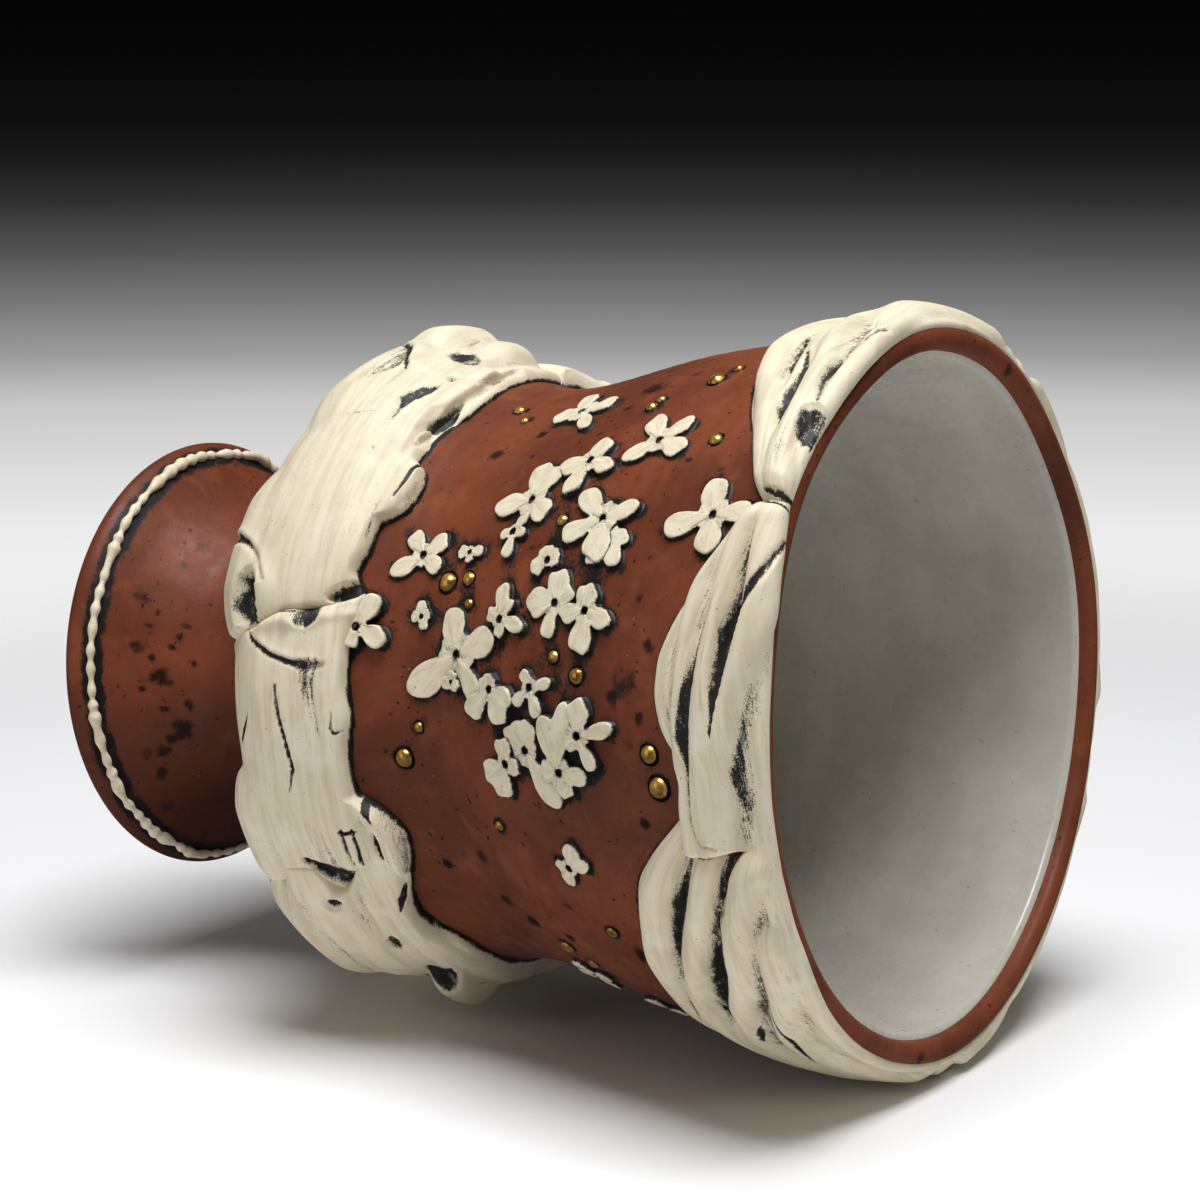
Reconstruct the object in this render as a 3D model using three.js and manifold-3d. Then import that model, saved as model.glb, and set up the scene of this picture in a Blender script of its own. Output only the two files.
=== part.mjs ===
// A pedestal cup: a red clay bowl on a hollow trumpet foot, lined with white glaze and dressed with
// folded porcelain sheets, swags, four-petal sprigs, gold dots and a beaded slip line.
// Millimetres, +Z up, the origin at the centre of the foot's underside.

import * as THREE from 'three';
import { mergeVertices } from 'three/addons/utils/BufferGeometryUtils.js';
import Module from 'manifold-3d';

// Height of the cup, and its levels below the lip as shares of that height
const CUP_HEIGHT = 120.5;
const FOOT_SHARE = 0.199;
const BELLY_SHARE = 0.386;
const WAIST_SHARE = 0.5435;
const FLARE_SHARE = 0.759;

// Outer radii of the foot and of the bowl at those levels
const FOOT_RADIUS = 28.6;
const NECK_RADIUS = 17.5;
const BELLY_RADIUS = 41;
const WAIST_RADIUS = 38;
const FLARE_RADIUS = 43;
const LIP_RADIUS = 46.4;

// The foot's rounded edge and the powers that shape its sweep and the bowl's underside
const FOOT_EDGE_HEIGHT = 4.4;
const FOOT_EDGE_BULGE = 1.6;
const FOOT_SWEEP = 2.4;
const UNDERSIDE_FALL = 2;
const UNDERSIDE_LEAN = 1.4;

// Walls, the glaze skin and the slip joint under every bonded piece
const FOOT_WALL = 4.2;
const BOWL_WALL = 3.2;
const GLAZE_THICKNESS = 0.5;
const GLAZE_SETBACK = 2.4;
const SLIP_GAP = 0.3;

// Porcelain drapery: body, fold relief, how much thinner the body is at its lower edge, edge thickness, and
// the swags' distance under the lip's rounding
const SHEET_THICKNESS = 2.4;
const SHEET_FOLD = 0.7;
const SHEET_TAPER = 0.4;
const SWAG_THICKNESS = 1.6;
const SWAG_FOLD = 0.7;
const SWAG_TAPER = 0;
const DRAPERY_EDGE = 0.8;
const SHEET_FOLDS = 5;
const SWAG_FOLDS = 4;
const KNOT_SHARE = 0.45;
const SWAG_SETBACK = 0.4;

// Sprigs, gold dots (rings as shares of a dot's radius and height) and the beaded line on the foot
const SPRIG_THICKNESS = 1.1;
const SPRIG_CENTRE = 0.6;
const SPRIG_STEP = 0.25;
const PETAL_LENGTH = 5;
const PETALS = 4;
const PETAL_SLENDERNESS = 0.34;
const DOT_RADIUS = 1;
const DOT_PROFILE = [[0.8, 0], [1, 0.35], [0.65, 0.85]];
const BEAD_COUNT = 68;
const TRAIL_RADIUS = 0.85;
const TRAIL_WAIST = 0.55;

// Facets
const TURN_STEPS = 36;
const UNDERSIDE_STEPS = 7;
const WAIST_STEPS = 5;
const FLARE_STEPS = 5;
const RIM_STEPS = 3;
const LIP_STEPS = 4;
const EDGE_STEPS = 3;
const SWEEP_STEPS = 6;
const DRAPERY_STEPS = 11;
const SPRIG_SIDES = 16;
const DOT_SIDES = 6;
const TRAIL_SIDES = 4;
const SLOPE_STEP = 0.001;

// Porcelain sheets round the belly. Angles run from the front towards the right, in degrees. `above` and
// `below` are the edges' shares of the waist's and the belly's rise at the start, at `mid` and at the end.
const BELLY_SHEETS = [
  { from: -97, to: -10.5, mid: 0.45, above: [0.66, 0.84, 0.5], below: [0.6, 0.7, 0.48] },
  { from: -9, to: 39, mid: 0.4, above: [0.5, 0.62, 0.7], below: [0.48, 0.62, 0.5] },
  { from: 40.5, to: 103, mid: 0.3, above: [0.78, 0.86, 0.6], below: [0.52, 0.68, 0.55] },
  { from: 104.5, to: 181, mid: 0.55, above: [0.6, 0.8, 0.52], below: [0.55, 0.7, 0.5] },
  { from: 182.5, to: 261.5, mid: 0.5, above: [0.52, 0.82, 0.64], below: [0.5, 0.66, 0.58] },
];

// Swags under the lip: `below` is the lower edge's share of the lip's rise, measured down from the lip.
const RIM_SWAGS = [
  { from: -111, to: -28, mid: 0.45, below: [0.24, 0.5, 0.22] },
  { from: -26.5, to: 17, mid: 0.66, below: [0.22, 0.46, 0.34] },
  { from: 18.5, to: 96, mid: 0.3, below: [0.36, 0.7, 0.24] },
  { from: 97.5, to: 172, mid: 0.5, below: [0.24, 0.56, 0.26] },
  { from: 173.5, to: 247.5, mid: 0.55, below: [0.26, 0.6, 0.24] },
];

// Sprigs: each has its angle, its share of the red field between waist and lip, its size as a share of the
// longest petal, its turn, and the sprigs pressed against it, placed to its right and above it in lengths of
// that petal. The first seventeen face the front, the rest the back.
const SPRIG_CLUSTERS = [
  { at: -21.2, up: -0.024, size: 0.72, turn: 20 },
  { at: -22.5, up: 0.104, size: 0.36, turn: 40 },
  { at: -57.1, up: 0.209, size: 0.88, turn: 15 },
  {
    at: -37, up: 0.39, size: 0.84, turn: 32,
    beside: [
      { x: 0.84, y: -1.38, size: 0.92, turn: 32 },
      { x: 1.69, y: -1.67, size: 0.48, turn: -10 },
    ],
  },
  { at: -25, up: 0.487, size: 0.92, turn: 45 },
  { at: -40.4, up: 0.569, size: 0.92, turn: 25 },
  { at: -26, up: 0.775, size: 0.84, turn: 10 },
  { at: -9.6, up: 0.007, size: 0.36, turn: 0 },
  {
    at: -2.3, up: 0.118, size: 1, turn: 5,
    beside: [
      { x: 0.24, y: 0.74, size: 0.8, turn: 50 },
      { x: 0.77, y: 1.39, size: 0.72, turn: 20 },
    ],
  },
  { at: -8.8, up: 0.262, size: 0.58, turn: 0 },
  { at: 2.5, up: 0.371, size: 0.6, turn: 20 },
  {
    at: -18, up: 0.369, size: 0.6, turn: 30,
    beside: [
      { x: 0.8, y: 0.51, size: 0.72, turn: 0 },
      { x: 1.17, y: 1.58, size: 0.72, turn: 40 },
    ],
  },
  {
    at: 15.6, up: 0.287, size: 0.68, turn: 30,
    beside: [
      { x: -0.36, y: 0.64, size: 0.76, turn: 10 },
      { x: 0.01, y: 1.78, size: 0.72, turn: 45 },
      { x: -0.82, y: 2.49, size: 0.76, turn: 15 },
    ],
  },
  { at: 33, up: 0.424, size: 0.54, turn: 10 },
  { at: -5.5, up: -0.085, size: 0.6, turn: 45 },
  { at: 68, up: 0.278, size: 0.76, turn: 30 },
  { at: 75, up: 0.43, size: 0.72, turn: 10 },
  {
    at: 146, up: 0.33, size: 0.76, turn: 15,
    beside: [
      { x: 0.79, y: 0.99, size: 0.72, turn: 40 },
      { x: 1.08, y: -0.22, size: 0.68, turn: 0 },
    ],
  },
  {
    at: 188, up: 0.52, size: 0.84, turn: 30,
    beside: [
      { x: 0.91, y: 0.88, size: 0.76, turn: 5 },
    ],
  },
  { at: 172, up: 0.24, size: 0.76, turn: 20 },
  { at: 205, up: 0.36, size: 0.8, turn: 50 },
  { at: 222, up: 0.2, size: 0.68, turn: 10 },
  { at: 232, up: 0.58, size: 0.84, turn: 35 },
  { at: 118, up: 0.46, size: 0.76, turn: 25 },
  { at: 132, up: 0.14, size: 0.6, turn: 5 },
];

// Raised gold dots: angle, share of the red field and share of the radius. The last five are at the back.
const GOLD_DOTS = [
  { at: -15.6, up: 0.073, size: 1.1 },
  { at: -16.2, up: 0.135, size: 0.8 },
  { at: 18, up: -0.029, size: 1.1 },
  { at: -2.4, up: 0.438, size: 0.7 },
  { at: 0.4, up: 0.507, size: 0.9 },
  { at: 11.5, up: 0.705, size: 1 },
  { at: 16.5, up: 0.725, size: 1.2 },
  { at: -61.7, up: 0.007, size: 0.8 },
  { at: -25.7, up: 0.385, size: 0.7 },
  { at: -50.5, up: 0.475, size: 0.7 },
  { at: -56.1, up: 0.609, size: 1 },
  { at: -39.6, up: 0.727, size: 0.8 },
  { at: 46.2, up: 0.48, size: 0.7 },
  { at: 57.3, up: 0.273, size: 0.9 },
  { at: 60.9, up: 0.324, size: 0.7 },
  { at: 164, up: 0.12, size: 1.1 },
  { at: 180, up: 0.38, size: 0.9 },
  { at: 212, up: 0.62, size: 1 },
  { at: 140, up: 0.58, size: 0.9 },
  { at: 240, up: 0.36, size: 1 },
];

// Levels, worked out from the height, and the rises between them
const FOOT_HEIGHT = CUP_HEIGHT * FOOT_SHARE;
const BELLY_LEVEL = CUP_HEIGHT * BELLY_SHARE;
const WAIST_LEVEL = CUP_HEIGHT * WAIST_SHARE;
const FLARE_LEVEL = CUP_HEIGHT * FLARE_SHARE;
const LIP_LEVEL = CUP_HEIGHT;
const BELLY_RISE = BELLY_LEVEL - FOOT_HEIGHT;
const WAIST_RISE = WAIST_LEVEL - BELLY_LEVEL;
const LIP_RISE = LIP_LEVEL - FLARE_LEVEL;
const LIP_ROUND = BOWL_WALL / 2;
const UPPER_WALL = [
  [BELLY_LEVEL, BELLY_RADIUS],
  [WAIST_LEVEL, WAIST_RADIUS],
  [FLARE_LEVEL, FLARE_RADIUS],
  [LIP_LEVEL, LIP_RADIUS],
];

const RED_CLAY = new THREE.MeshStandardMaterial({ color: 0x74402c, roughness: 0.5, metalness: 0 });
const PORCELAIN = new THREE.MeshStandardMaterial({ color: 0xe6dcc4, roughness: 0.62, metalness: 0 });
const WHITE_GLAZE = new THREE.MeshStandardMaterial({ color: 0xdcd8cc, roughness: 0.25, metalness: 0 });
const GOLD_LUSTRE = new THREE.MeshStandardMaterial({ color: 0xd2a24c, roughness: 0.2, metalness: 1 });

const wasm = await Module();
wasm.setup();

// Slope of the upper wall at one of its levels: level at a turning point, else the spans' harmonic mean
function levelSlope(k) {
  const span = (i) => (UPPER_WALL[i + 1][1] - UPPER_WALL[i][1]) / (UPPER_WALL[i + 1][0] - UPPER_WALL[i][0]);
  if (k === 0) return 0;
  if (k === UPPER_WALL.length - 1) return span(k - 1);
  const before = span(k - 1);
  const after = span(k);
  return before * after <= 0 ? 0 : (2 * before * after) / (before + after);
}

// Outer radius of the bowl at a height: a rounded underside, then a smooth curve through the levels
function wallRadius(height) {
  if (height <= BELLY_LEVEL) {
    const fall = Math.min((BELLY_LEVEL - height) / BELLY_RISE, 1);
    return NECK_RADIUS + (BELLY_RADIUS - NECK_RADIUS) * (1 - fall ** UNDERSIDE_FALL) ** UNDERSIDE_LEAN;
  }
  let k = 0;
  while (k < UPPER_WALL.length - 2 && height > UPPER_WALL[k + 1][0]) k += 1;
  const [low, lowRadius] = UPPER_WALL[k];
  const [high, highRadius] = UPPER_WALL[k + 1];
  const span = high - low;
  const t = (height - low) / span;
  const blend = t * t * (3 - 2 * t);
  const leave = t * (1 - t) * (1 - t) * span * levelSlope(k);
  const arrive = t * t * (t - 1) * span * levelSlope(k + 1);
  return lowRadius + (highRadius - lowRadius) * blend + leave + arrive;
}

// Point of the bowl's section at a height, `stand` millimetres out from the wall along its normal
function sectionPoint(height, stand) {
  const slope = (wallRadius(height + SLOPE_STEP) - wallRadius(height - SLOPE_STEP)) / (2 * SLOPE_STEP);
  const normal = new THREE.Vector2(1, -slope).normalize();
  return new THREE.Vector2(wallRadius(height), height).addScaledVector(normal, stand);
}

function onWall(angle, height, stand) {
  const section = sectionPoint(height, stand);
  return new THREE.Vector3(section.x * Math.sin(angle), -section.x * Math.cos(angle), section.y);
}

// Flat coordinates laid on the wall round one point: x to the right, y up, stand outwards
function patchOnWall(angle, height) {
  const radius = wallRadius(height);
  return (x, y, stand) => onWall(angle + x / radius, height + y, stand);
}

function turned(profile) {
  return new THREE.LatheGeometry(profile, TURN_STEPS).rotateX(Math.PI / 2);
}

function indexed(points, triangles) {
  const geometry = new THREE.BufferGeometry();
  geometry.setAttribute('position', new THREE.Float32BufferAttribute(points.flatMap((p) => p.toArray()), 3));
  geometry.setIndex(triangles.flat());
  geometry.computeVertexNormals();
  return geometry;
}

// Closed body from a stack of rings, bottom to top, with a centre point at each end
function ringStack(rings, bottom, top) {
  const sides = rings[0].length;
  const points = [...rings.flat(), bottom, top];
  const bottomIndex = points.length - 2;
  const topIndex = points.length - 1;
  const triangles = [];
  for (let i = 0; i < sides; i += 1) {
    const next = (i + 1) % sides;
    const last = (rings.length - 1) * sides;
    triangles.push([next, i, bottomIndex], [last + i, last + next, topIndex]);
    for (let base = 0; base < last; base += sides) {
      triangles.push([base + i, base + next, base + sides + next]);
      triangles.push([base + i, base + sides + next, base + sides + i]);
    }
  }
  return indexed(points, triangles);
}

// Closed slab between an outer and an inner grid of points, across by up
function slab(across, up, outerPoint, innerPoint) {
  const points = [];
  for (const point of [outerPoint, innerPoint]) {
    for (let i = 0; i <= across; i += 1) {
      for (let j = 0; j <= up; j += 1) points.push(point(i / across, j / up));
    }
  }
  const inner = points.length / 2;
  const cell = (i, j) => i * (up + 1) + j;
  const triangles = [];
  for (let i = 0; i < across; i += 1) {
    for (let j = 0; j < up; j += 1) {
      const [a, b, c, d] = [cell(i, j), cell(i + 1, j), cell(i + 1, j + 1), cell(i, j + 1)];
      triangles.push([a, b, c], [a, c, d]);
      triangles.push([inner + c, inner + b, inner + a], [inner + d, inner + c, inner + a]);
    }
  }
  const border = [];
  for (let i = 0; i < across; i += 1) border.push(cell(i, 0));
  for (let j = 0; j < up; j += 1) border.push(cell(across, j));
  for (let i = across; i > 0; i -= 1) border.push(cell(i, up));
  for (let j = up; j > 0; j -= 1) border.push(cell(0, j));
  border.forEach((a, k) => {
    const b = border[(k + 1) % border.length];
    triangles.push([inner + a, inner + b, b], [inner + a, b, a]);
  });
  return indexed(points, triangles);
}

// Outer radius of the foot: its rounded edge, then the sweep up to the neck
function footRadius(height) {
  if (height <= FOOT_EDGE_HEIGHT) {
    return FOOT_RADIUS + FOOT_EDGE_BULGE * Math.sin((Math.PI * height) / FOOT_EDGE_HEIGHT);
  }
  const left = Math.max(FOOT_HEIGHT - height, 0) / (FOOT_HEIGHT - FOOT_EDGE_HEIGHT);
  return NECK_RADIUS + (FOOT_RADIUS - NECK_RADIUS) * left ** FOOT_SWEEP;
}

function footPedestal() {
  const outer = [];
  for (let k = 0; k < EDGE_STEPS; k += 1) {
    const height = (FOOT_EDGE_HEIGHT * k) / EDGE_STEPS;
    outer.push(new THREE.Vector2(footRadius(height), height));
  }
  const sweep = [];
  for (let k = 0; k <= SWEEP_STEPS; k += 1) {
    const height = FOOT_EDGE_HEIGHT + ((FOOT_HEIGHT - FOOT_EDGE_HEIGHT) * k) / SWEEP_STEPS;
    sweep.push(new THREE.Vector2(footRadius(height), height));
  }
  const hollow = sweep.map((p) => new THREE.Vector2(p.x - FOOT_WALL, p.y)).reverse();
  hollow.push(new THREE.Vector2(FOOT_RADIUS - FOOT_WALL, 0));
  return turned([...outer, ...sweep, ...hollow, outer[0].clone()]);
}

// Heights at which the bowl's section is sampled, from its underside through the levels up to a top
function sectionHeights(bottom, top) {
  const spans = [
    [bottom, BELLY_LEVEL, UNDERSIDE_STEPS],
    [BELLY_LEVEL, WAIST_LEVEL, WAIST_STEPS],
    [WAIST_LEVEL, FLARE_LEVEL, FLARE_STEPS],
    [FLARE_LEVEL, top, RIM_STEPS],
  ];
  const heights = [];
  for (const [low, high, steps] of spans) {
    for (let k = 0; k < steps; k += 1) heights.push(low + ((high - low) * k) / steps);
  }
  heights.push(top);
  return heights;
}

// Section line `depth` inside the bowl's outer face, from the floor's corner up to a height
function insideLine(depth, top) {
  return sectionHeights(FOOT_HEIGHT + depth, top).map((height) => sectionPoint(height, -depth));
}

function cupBowl() {
  const top = LIP_LEVEL - LIP_ROUND;
  const outer = sectionHeights(FOOT_HEIGHT, top).map((height) => sectionPoint(height, 0));
  const inner = insideLine(BOWL_WALL, top);
  const start = outer[outer.length - 1];
  const end = inner[inner.length - 1];
  const centre = start.clone().add(end).multiplyScalar(0.5);
  const outwards = start.clone().sub(centre);
  const upwards = new THREE.Vector2(0, LIP_LEVEL - centre.y);
  const lip = [];
  for (let k = 1; k < LIP_STEPS; k += 1) {
    const swing = (Math.PI * k) / LIP_STEPS;
    const point = centre.clone().addScaledVector(outwards, Math.cos(swing));
    lip.push(point.addScaledVector(upwards, Math.sin(swing)));
  }
  const floor = new THREE.Vector2(0, inner[0].y);
  return turned([new THREE.Vector2(0, FOOT_HEIGHT), ...outer, ...lip, ...inner.reverse(), floor]);
}

function glazeLiner() {
  const top = LIP_LEVEL - GLAZE_SETBACK;
  const back = insideLine(BOWL_WALL + SLIP_GAP, top);
  const face = insideLine(BOWL_WALL + SLIP_GAP + GLAZE_THICKNESS, top);
  const backCentre = new THREE.Vector2(0, back[0].y);
  const faceCentre = new THREE.Vector2(0, face[0].y);
  return turned([backCentre, ...back, ...face.reverse(), faceCentre]);
}

// Ring of slip beads seated on the top of the foot's edge
function footBeadTrail() {
  const slope = (footRadius(FOOT_EDGE_HEIGHT) - footRadius(FOOT_EDGE_HEIGHT - SLOPE_STEP)) / SLOPE_STEP;
  const normal = new THREE.Vector2(1, -slope).normalize();
  const seat = new THREE.Vector2(FOOT_RADIUS, FOOT_EDGE_HEIGHT);
  const centre = seat.addScaledVector(normal, TRAIL_RADIUS + SLIP_GAP);
  const steps = 2 * BEAD_COUNT;
  const points = [];
  const triangles = [];
  for (let i = 0; i < steps; i += 1) {
    const angle = (2 * Math.PI * i) / steps;
    const thick = i % 2 === 0 ? TRAIL_RADIUS : TRAIL_WAIST;
    for (let j = 0; j < TRAIL_SIDES; j += 1) {
      const swing = normal.angle() + (2 * Math.PI * j) / TRAIL_SIDES;
      const radius = centre.x + thick * Math.cos(swing);
      const height = centre.y + thick * Math.sin(swing);
      points.push(new THREE.Vector3(radius * Math.sin(angle), -radius * Math.cos(angle), height));
      const a = i * TRAIL_SIDES + j;
      const b = ((i + 1) % steps) * TRAIL_SIDES + j;
      const c = ((i + 1) % steps) * TRAIL_SIDES + ((j + 1) % TRAIL_SIDES);
      const d = i * TRAIL_SIDES + ((j + 1) % TRAIL_SIDES);
      triangles.push([a, b, c], [a, c, d]);
    }
  }
  return indexed(points, triangles);
}

// Scalloped edge: a value at the start, at `mid` and at the end, level in the middle like hanging cloth
function scallop([start, middle, end], mid) {
  return (t) => {
    if (t < mid) return start + (middle - start) * Math.sin((Math.PI / 2) * (t / mid));
    return middle + (end - middle) * (1 - Math.cos((Math.PI / 2) * ((t - mid) / (1 - mid))));
  };
}

// Folded sheet of porcelain on the wall, between a lower and an upper edge, drawn in at its two knots
function drapery({ from, to }, lowerEdge, upperEdge, { thickness, fold, taper, folds }) {
  const start = THREE.MathUtils.degToRad(from);
  const sweep = THREE.MathUtils.degToRad(to - from);
  const heightAt = (u, v) => lowerEdge(u) + (upperEdge(u) - lowerEdge(u)) * v;
  const standAt = (u, v) => {
    const swell = KNOT_SHARE + (1 - KNOT_SHARE) * Math.sqrt(Math.sin(Math.PI * u));
    const crown = Math.sqrt(Math.max(Math.sin(Math.PI * v), 0));
    const wave = -Math.cos(2 * Math.PI * folds * v);
    const body = (thickness + fold * wave) * (1 - taper * (1 - v));
    return SLIP_GAP + DRAPERY_EDGE + swell * crown * body;
  };
  const outerPoint = (u, v) => onWall(start + sweep * u, heightAt(u, v), standAt(u, v));
  const innerPoint = (u, v) => onWall(start + sweep * u, heightAt(u, v), SLIP_GAP);
  return slab(DRAPERY_STEPS, 2 * folds, outerPoint, innerPoint);
}

function bellySheet(sheet) {
  const above = scallop(sheet.above, sheet.mid);
  const below = scallop(sheet.below, sheet.mid);
  const upperEdge = (u) => BELLY_LEVEL + WAIST_RISE * above(u);
  const lowerEdge = (u) => BELLY_LEVEL - BELLY_RISE * below(u);
  const cloth = { thickness: SHEET_THICKNESS, fold: SHEET_FOLD, taper: SHEET_TAPER, folds: SHEET_FOLDS };
  return drapery(sheet, lowerEdge, upperEdge, cloth);
}

function rimSwag(swag) {
  const below = scallop(swag.below, swag.mid);
  const upperEdge = () => LIP_LEVEL - LIP_ROUND - SWAG_SETBACK;
  const lowerEdge = (u) => LIP_LEVEL - LIP_RISE * below(u);
  const cloth = { thickness: SWAG_THICKNESS, fold: SWAG_FOLD, taper: SWAG_TAPER, folds: SWAG_FOLDS };
  return drapery(swag, lowerEdge, upperEdge, cloth);
}

// Patch on the red field at an angle in degrees and a share of the height between waist and lip
function fieldPatch({ at, up }) {
  return patchOnWall(THREE.MathUtils.degToRad(at), WAIST_LEVEL + up * (LIP_LEVEL - WAIST_LEVEL));
}

// Reach of a sprig's outline in a direction: the farthest of its petals, each an ellipse from the centre
function petalReach(length, direction) {
  const half = length / 2;
  const wide = length * PETAL_SLENDERNESS;
  let reach = 0;
  for (let k = 0; k < PETALS; k += 1) {
    const off = direction - (2 * Math.PI * k) / PETALS;
    const along = Math.cos(off);
    const aside = Math.sin(off);
    if (along <= 0) continue;
    const petal = (2 * half * wide ** 2 * along) / ((wide * along) ** 2 + (half * aside) ** 2);
    reach = Math.max(reach, petal);
  }
  return reach;
}

function sprig(patch, { x, y, size, turn }, step) {
  const swing = THREE.MathUtils.degToRad(turn);
  const [right, up] = [x * PETAL_LENGTH, y * PETAL_LENGTH];
  const ring = (stand) => {
    const points = [];
    for (let i = 0; i < SPRIG_SIDES; i += 1) {
      const direction = (2 * Math.PI * i) / SPRIG_SIDES;
      const reach = petalReach(size * PETAL_LENGTH, direction);
      const [along, aside] = [reach * Math.cos(direction + swing), reach * Math.sin(direction + swing)];
      points.push(patch(right + along, up + aside, stand));
    }
    return points;
  };
  const rings = [ring(SLIP_GAP), ring(SLIP_GAP + SPRIG_THICKNESS + step)];
  return ringStack(rings, patch(right, up, SLIP_GAP), patch(right, up, SLIP_GAP + SPRIG_CENTRE + step));
}

function goldDot(dot) {
  const patch = fieldPatch(dot);
  const radius = dot.size * DOT_RADIUS;
  const ring = (share, rise) => {
    const points = [];
    for (let i = 0; i < DOT_SIDES; i += 1) {
      const direction = (2 * Math.PI * i) / DOT_SIDES;
      const reach = share * radius;
      const stand = SLIP_GAP + rise * radius;
      points.push(patch(reach * Math.cos(direction), reach * Math.sin(direction), stand));
    }
    return points;
  };
  const rings = DOT_PROFILE.map(([share, rise]) => ring(share, rise));
  return ringStack(rings, patch(0, 0, SLIP_GAP), patch(0, 0, SLIP_GAP + radius));
}

function toSolid(geometry) {
  const bare = geometry.clone();
  bare.deleteAttribute('normal');
  const welded = mergeVertices(bare);
  const mesh = new wasm.Mesh({
    numProp: 3,
    vertProperties: new Float32Array(welded.attributes.position.array),
    triVerts: new Uint32Array(welded.index.array),
  });
  return new wasm.Manifold(mesh);
}

function fromSolid(solid) {
  const mesh = solid.getMesh();
  const geometry = new THREE.BufferGeometry();
  geometry.setAttribute('position', new THREE.BufferAttribute(new Float32Array(mesh.vertProperties), 3));
  geometry.setIndex(new THREE.BufferAttribute(new Uint32Array(mesh.triVerts), 1));
  geometry.computeVertexNormals();
  return geometry;
}

// Sprigs of one cluster, pressed together, each a little proud of the one before
function sprigCluster(cluster) {
  const patch = fieldPatch(cluster);
  const places = [{ ...cluster, x: 0, y: 0 }, ...(cluster.beside ?? [])];
  const sprigs = places.map((place, k) => sprig(patch, place, k * SPRIG_STEP));
  if (sprigs.length === 1) return sprigs[0];
  return fromSolid(sprigs.map(toSolid).reduce((joined, next) => joined.add(next)));
}

const cup = new THREE.Group();
cup.name = 'pedestal_cup';

function addPiece(name, geometry, material) {
  const mesh = new THREE.Mesh(geometry, material);
  mesh.name = name;
  cup.add(mesh);
}

const numbered = (name, k) => `${name}_${String(k + 1).padStart(2, '0')}`;

addPiece('foot_pedestal', footPedestal(), RED_CLAY);
addPiece('cup_bowl', cupBowl(), RED_CLAY);
addPiece('glaze_liner', glazeLiner(), WHITE_GLAZE);
addPiece('foot_bead_trail', footBeadTrail(), PORCELAIN);
BELLY_SHEETS.forEach((sheet, k) => addPiece(numbered('belly_sheet', k), bellySheet(sheet), PORCELAIN));
RIM_SWAGS.forEach((swag, k) => addPiece(numbered('rim_swag', k), rimSwag(swag), PORCELAIN));
SPRIG_CLUSTERS.forEach((cluster, k) => addPiece(numbered('sprig', k), sprigCluster(cluster), PORCELAIN));
GOLD_DOTS.forEach((dot, k) => addPiece(numbered('gold_dot', k), goldDot(dot), GOLD_LUSTRE));

export default cup;
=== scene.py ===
import math
from types import SimpleNamespace

import bpy
import numpy as np
from mathutils import Matrix, Vector


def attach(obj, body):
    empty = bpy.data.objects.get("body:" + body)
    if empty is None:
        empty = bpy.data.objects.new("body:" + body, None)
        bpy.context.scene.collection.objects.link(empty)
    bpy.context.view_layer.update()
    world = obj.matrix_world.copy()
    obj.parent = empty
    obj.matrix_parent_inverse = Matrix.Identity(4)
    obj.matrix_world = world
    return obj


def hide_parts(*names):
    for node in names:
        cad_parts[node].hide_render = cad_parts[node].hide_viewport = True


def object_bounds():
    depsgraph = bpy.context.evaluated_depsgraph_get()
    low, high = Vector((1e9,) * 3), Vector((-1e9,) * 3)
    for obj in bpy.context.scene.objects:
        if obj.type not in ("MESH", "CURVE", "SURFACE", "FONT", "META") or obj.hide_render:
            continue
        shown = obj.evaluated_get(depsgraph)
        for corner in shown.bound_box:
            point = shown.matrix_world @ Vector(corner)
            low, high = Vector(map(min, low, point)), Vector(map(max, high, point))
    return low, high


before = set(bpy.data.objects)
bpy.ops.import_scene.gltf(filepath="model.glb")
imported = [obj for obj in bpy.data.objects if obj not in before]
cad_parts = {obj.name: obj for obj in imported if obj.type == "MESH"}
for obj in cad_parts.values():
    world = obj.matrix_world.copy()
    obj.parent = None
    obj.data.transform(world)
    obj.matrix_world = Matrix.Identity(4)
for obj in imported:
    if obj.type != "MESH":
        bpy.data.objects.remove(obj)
cad_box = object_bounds()

# Lengths are millimetres and angles degrees, from the front towards the right, as in the part's own frame.
MM = 0.001
FULL_TURN = 360
SEED = 11

# Levels of the cup as shares of its height, and the radii at those levels
CUP_HEIGHT = cad_box[1].z / MM
FOOT_HEIGHT = CUP_HEIGHT * 0.199
BELLY_LEVEL = CUP_HEIGHT * 0.386
WAIST_LEVEL = CUP_HEIGHT * 0.5435
FLARE_LEVEL = CUP_HEIGHT * 0.759
LIP_LEVEL = CUP_HEIGHT
FOOT_RADIUS = 28.6
NECK_RADIUS = 17.5
BELLY_RADIUS = 41
WAIST_RADIUS = 38
FLARE_RADIUS = 43
LIP_RADIUS = 46.4

# The foot's edge and sweep, the bowl's underside, the walls and the glaze inside
FOOT_EDGE_HEIGHT = 4.4
FOOT_EDGE_BULGE = 1.6
FOOT_SWEEP = 2.4
UNDERSIDE_FALL = 2
UNDERSIDE_LEAN = 1.4
FOOT_WALL = 4.2
BOWL_WALL = 3.2
LIP_ROUND = BOWL_WALL / 2
LIP_SHOULDER = LIP_LEVEL - LIP_ROUND
GLAZE_DEPTH = 0.6
GLAZE_SETBACK = 2.4
GLAZE_INSET = 0.08
GLAZE_TOP_RISE = 0.1
GLAZE_FLOOR_RISE = 1
GLAZE_CENTRE = 1

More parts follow.
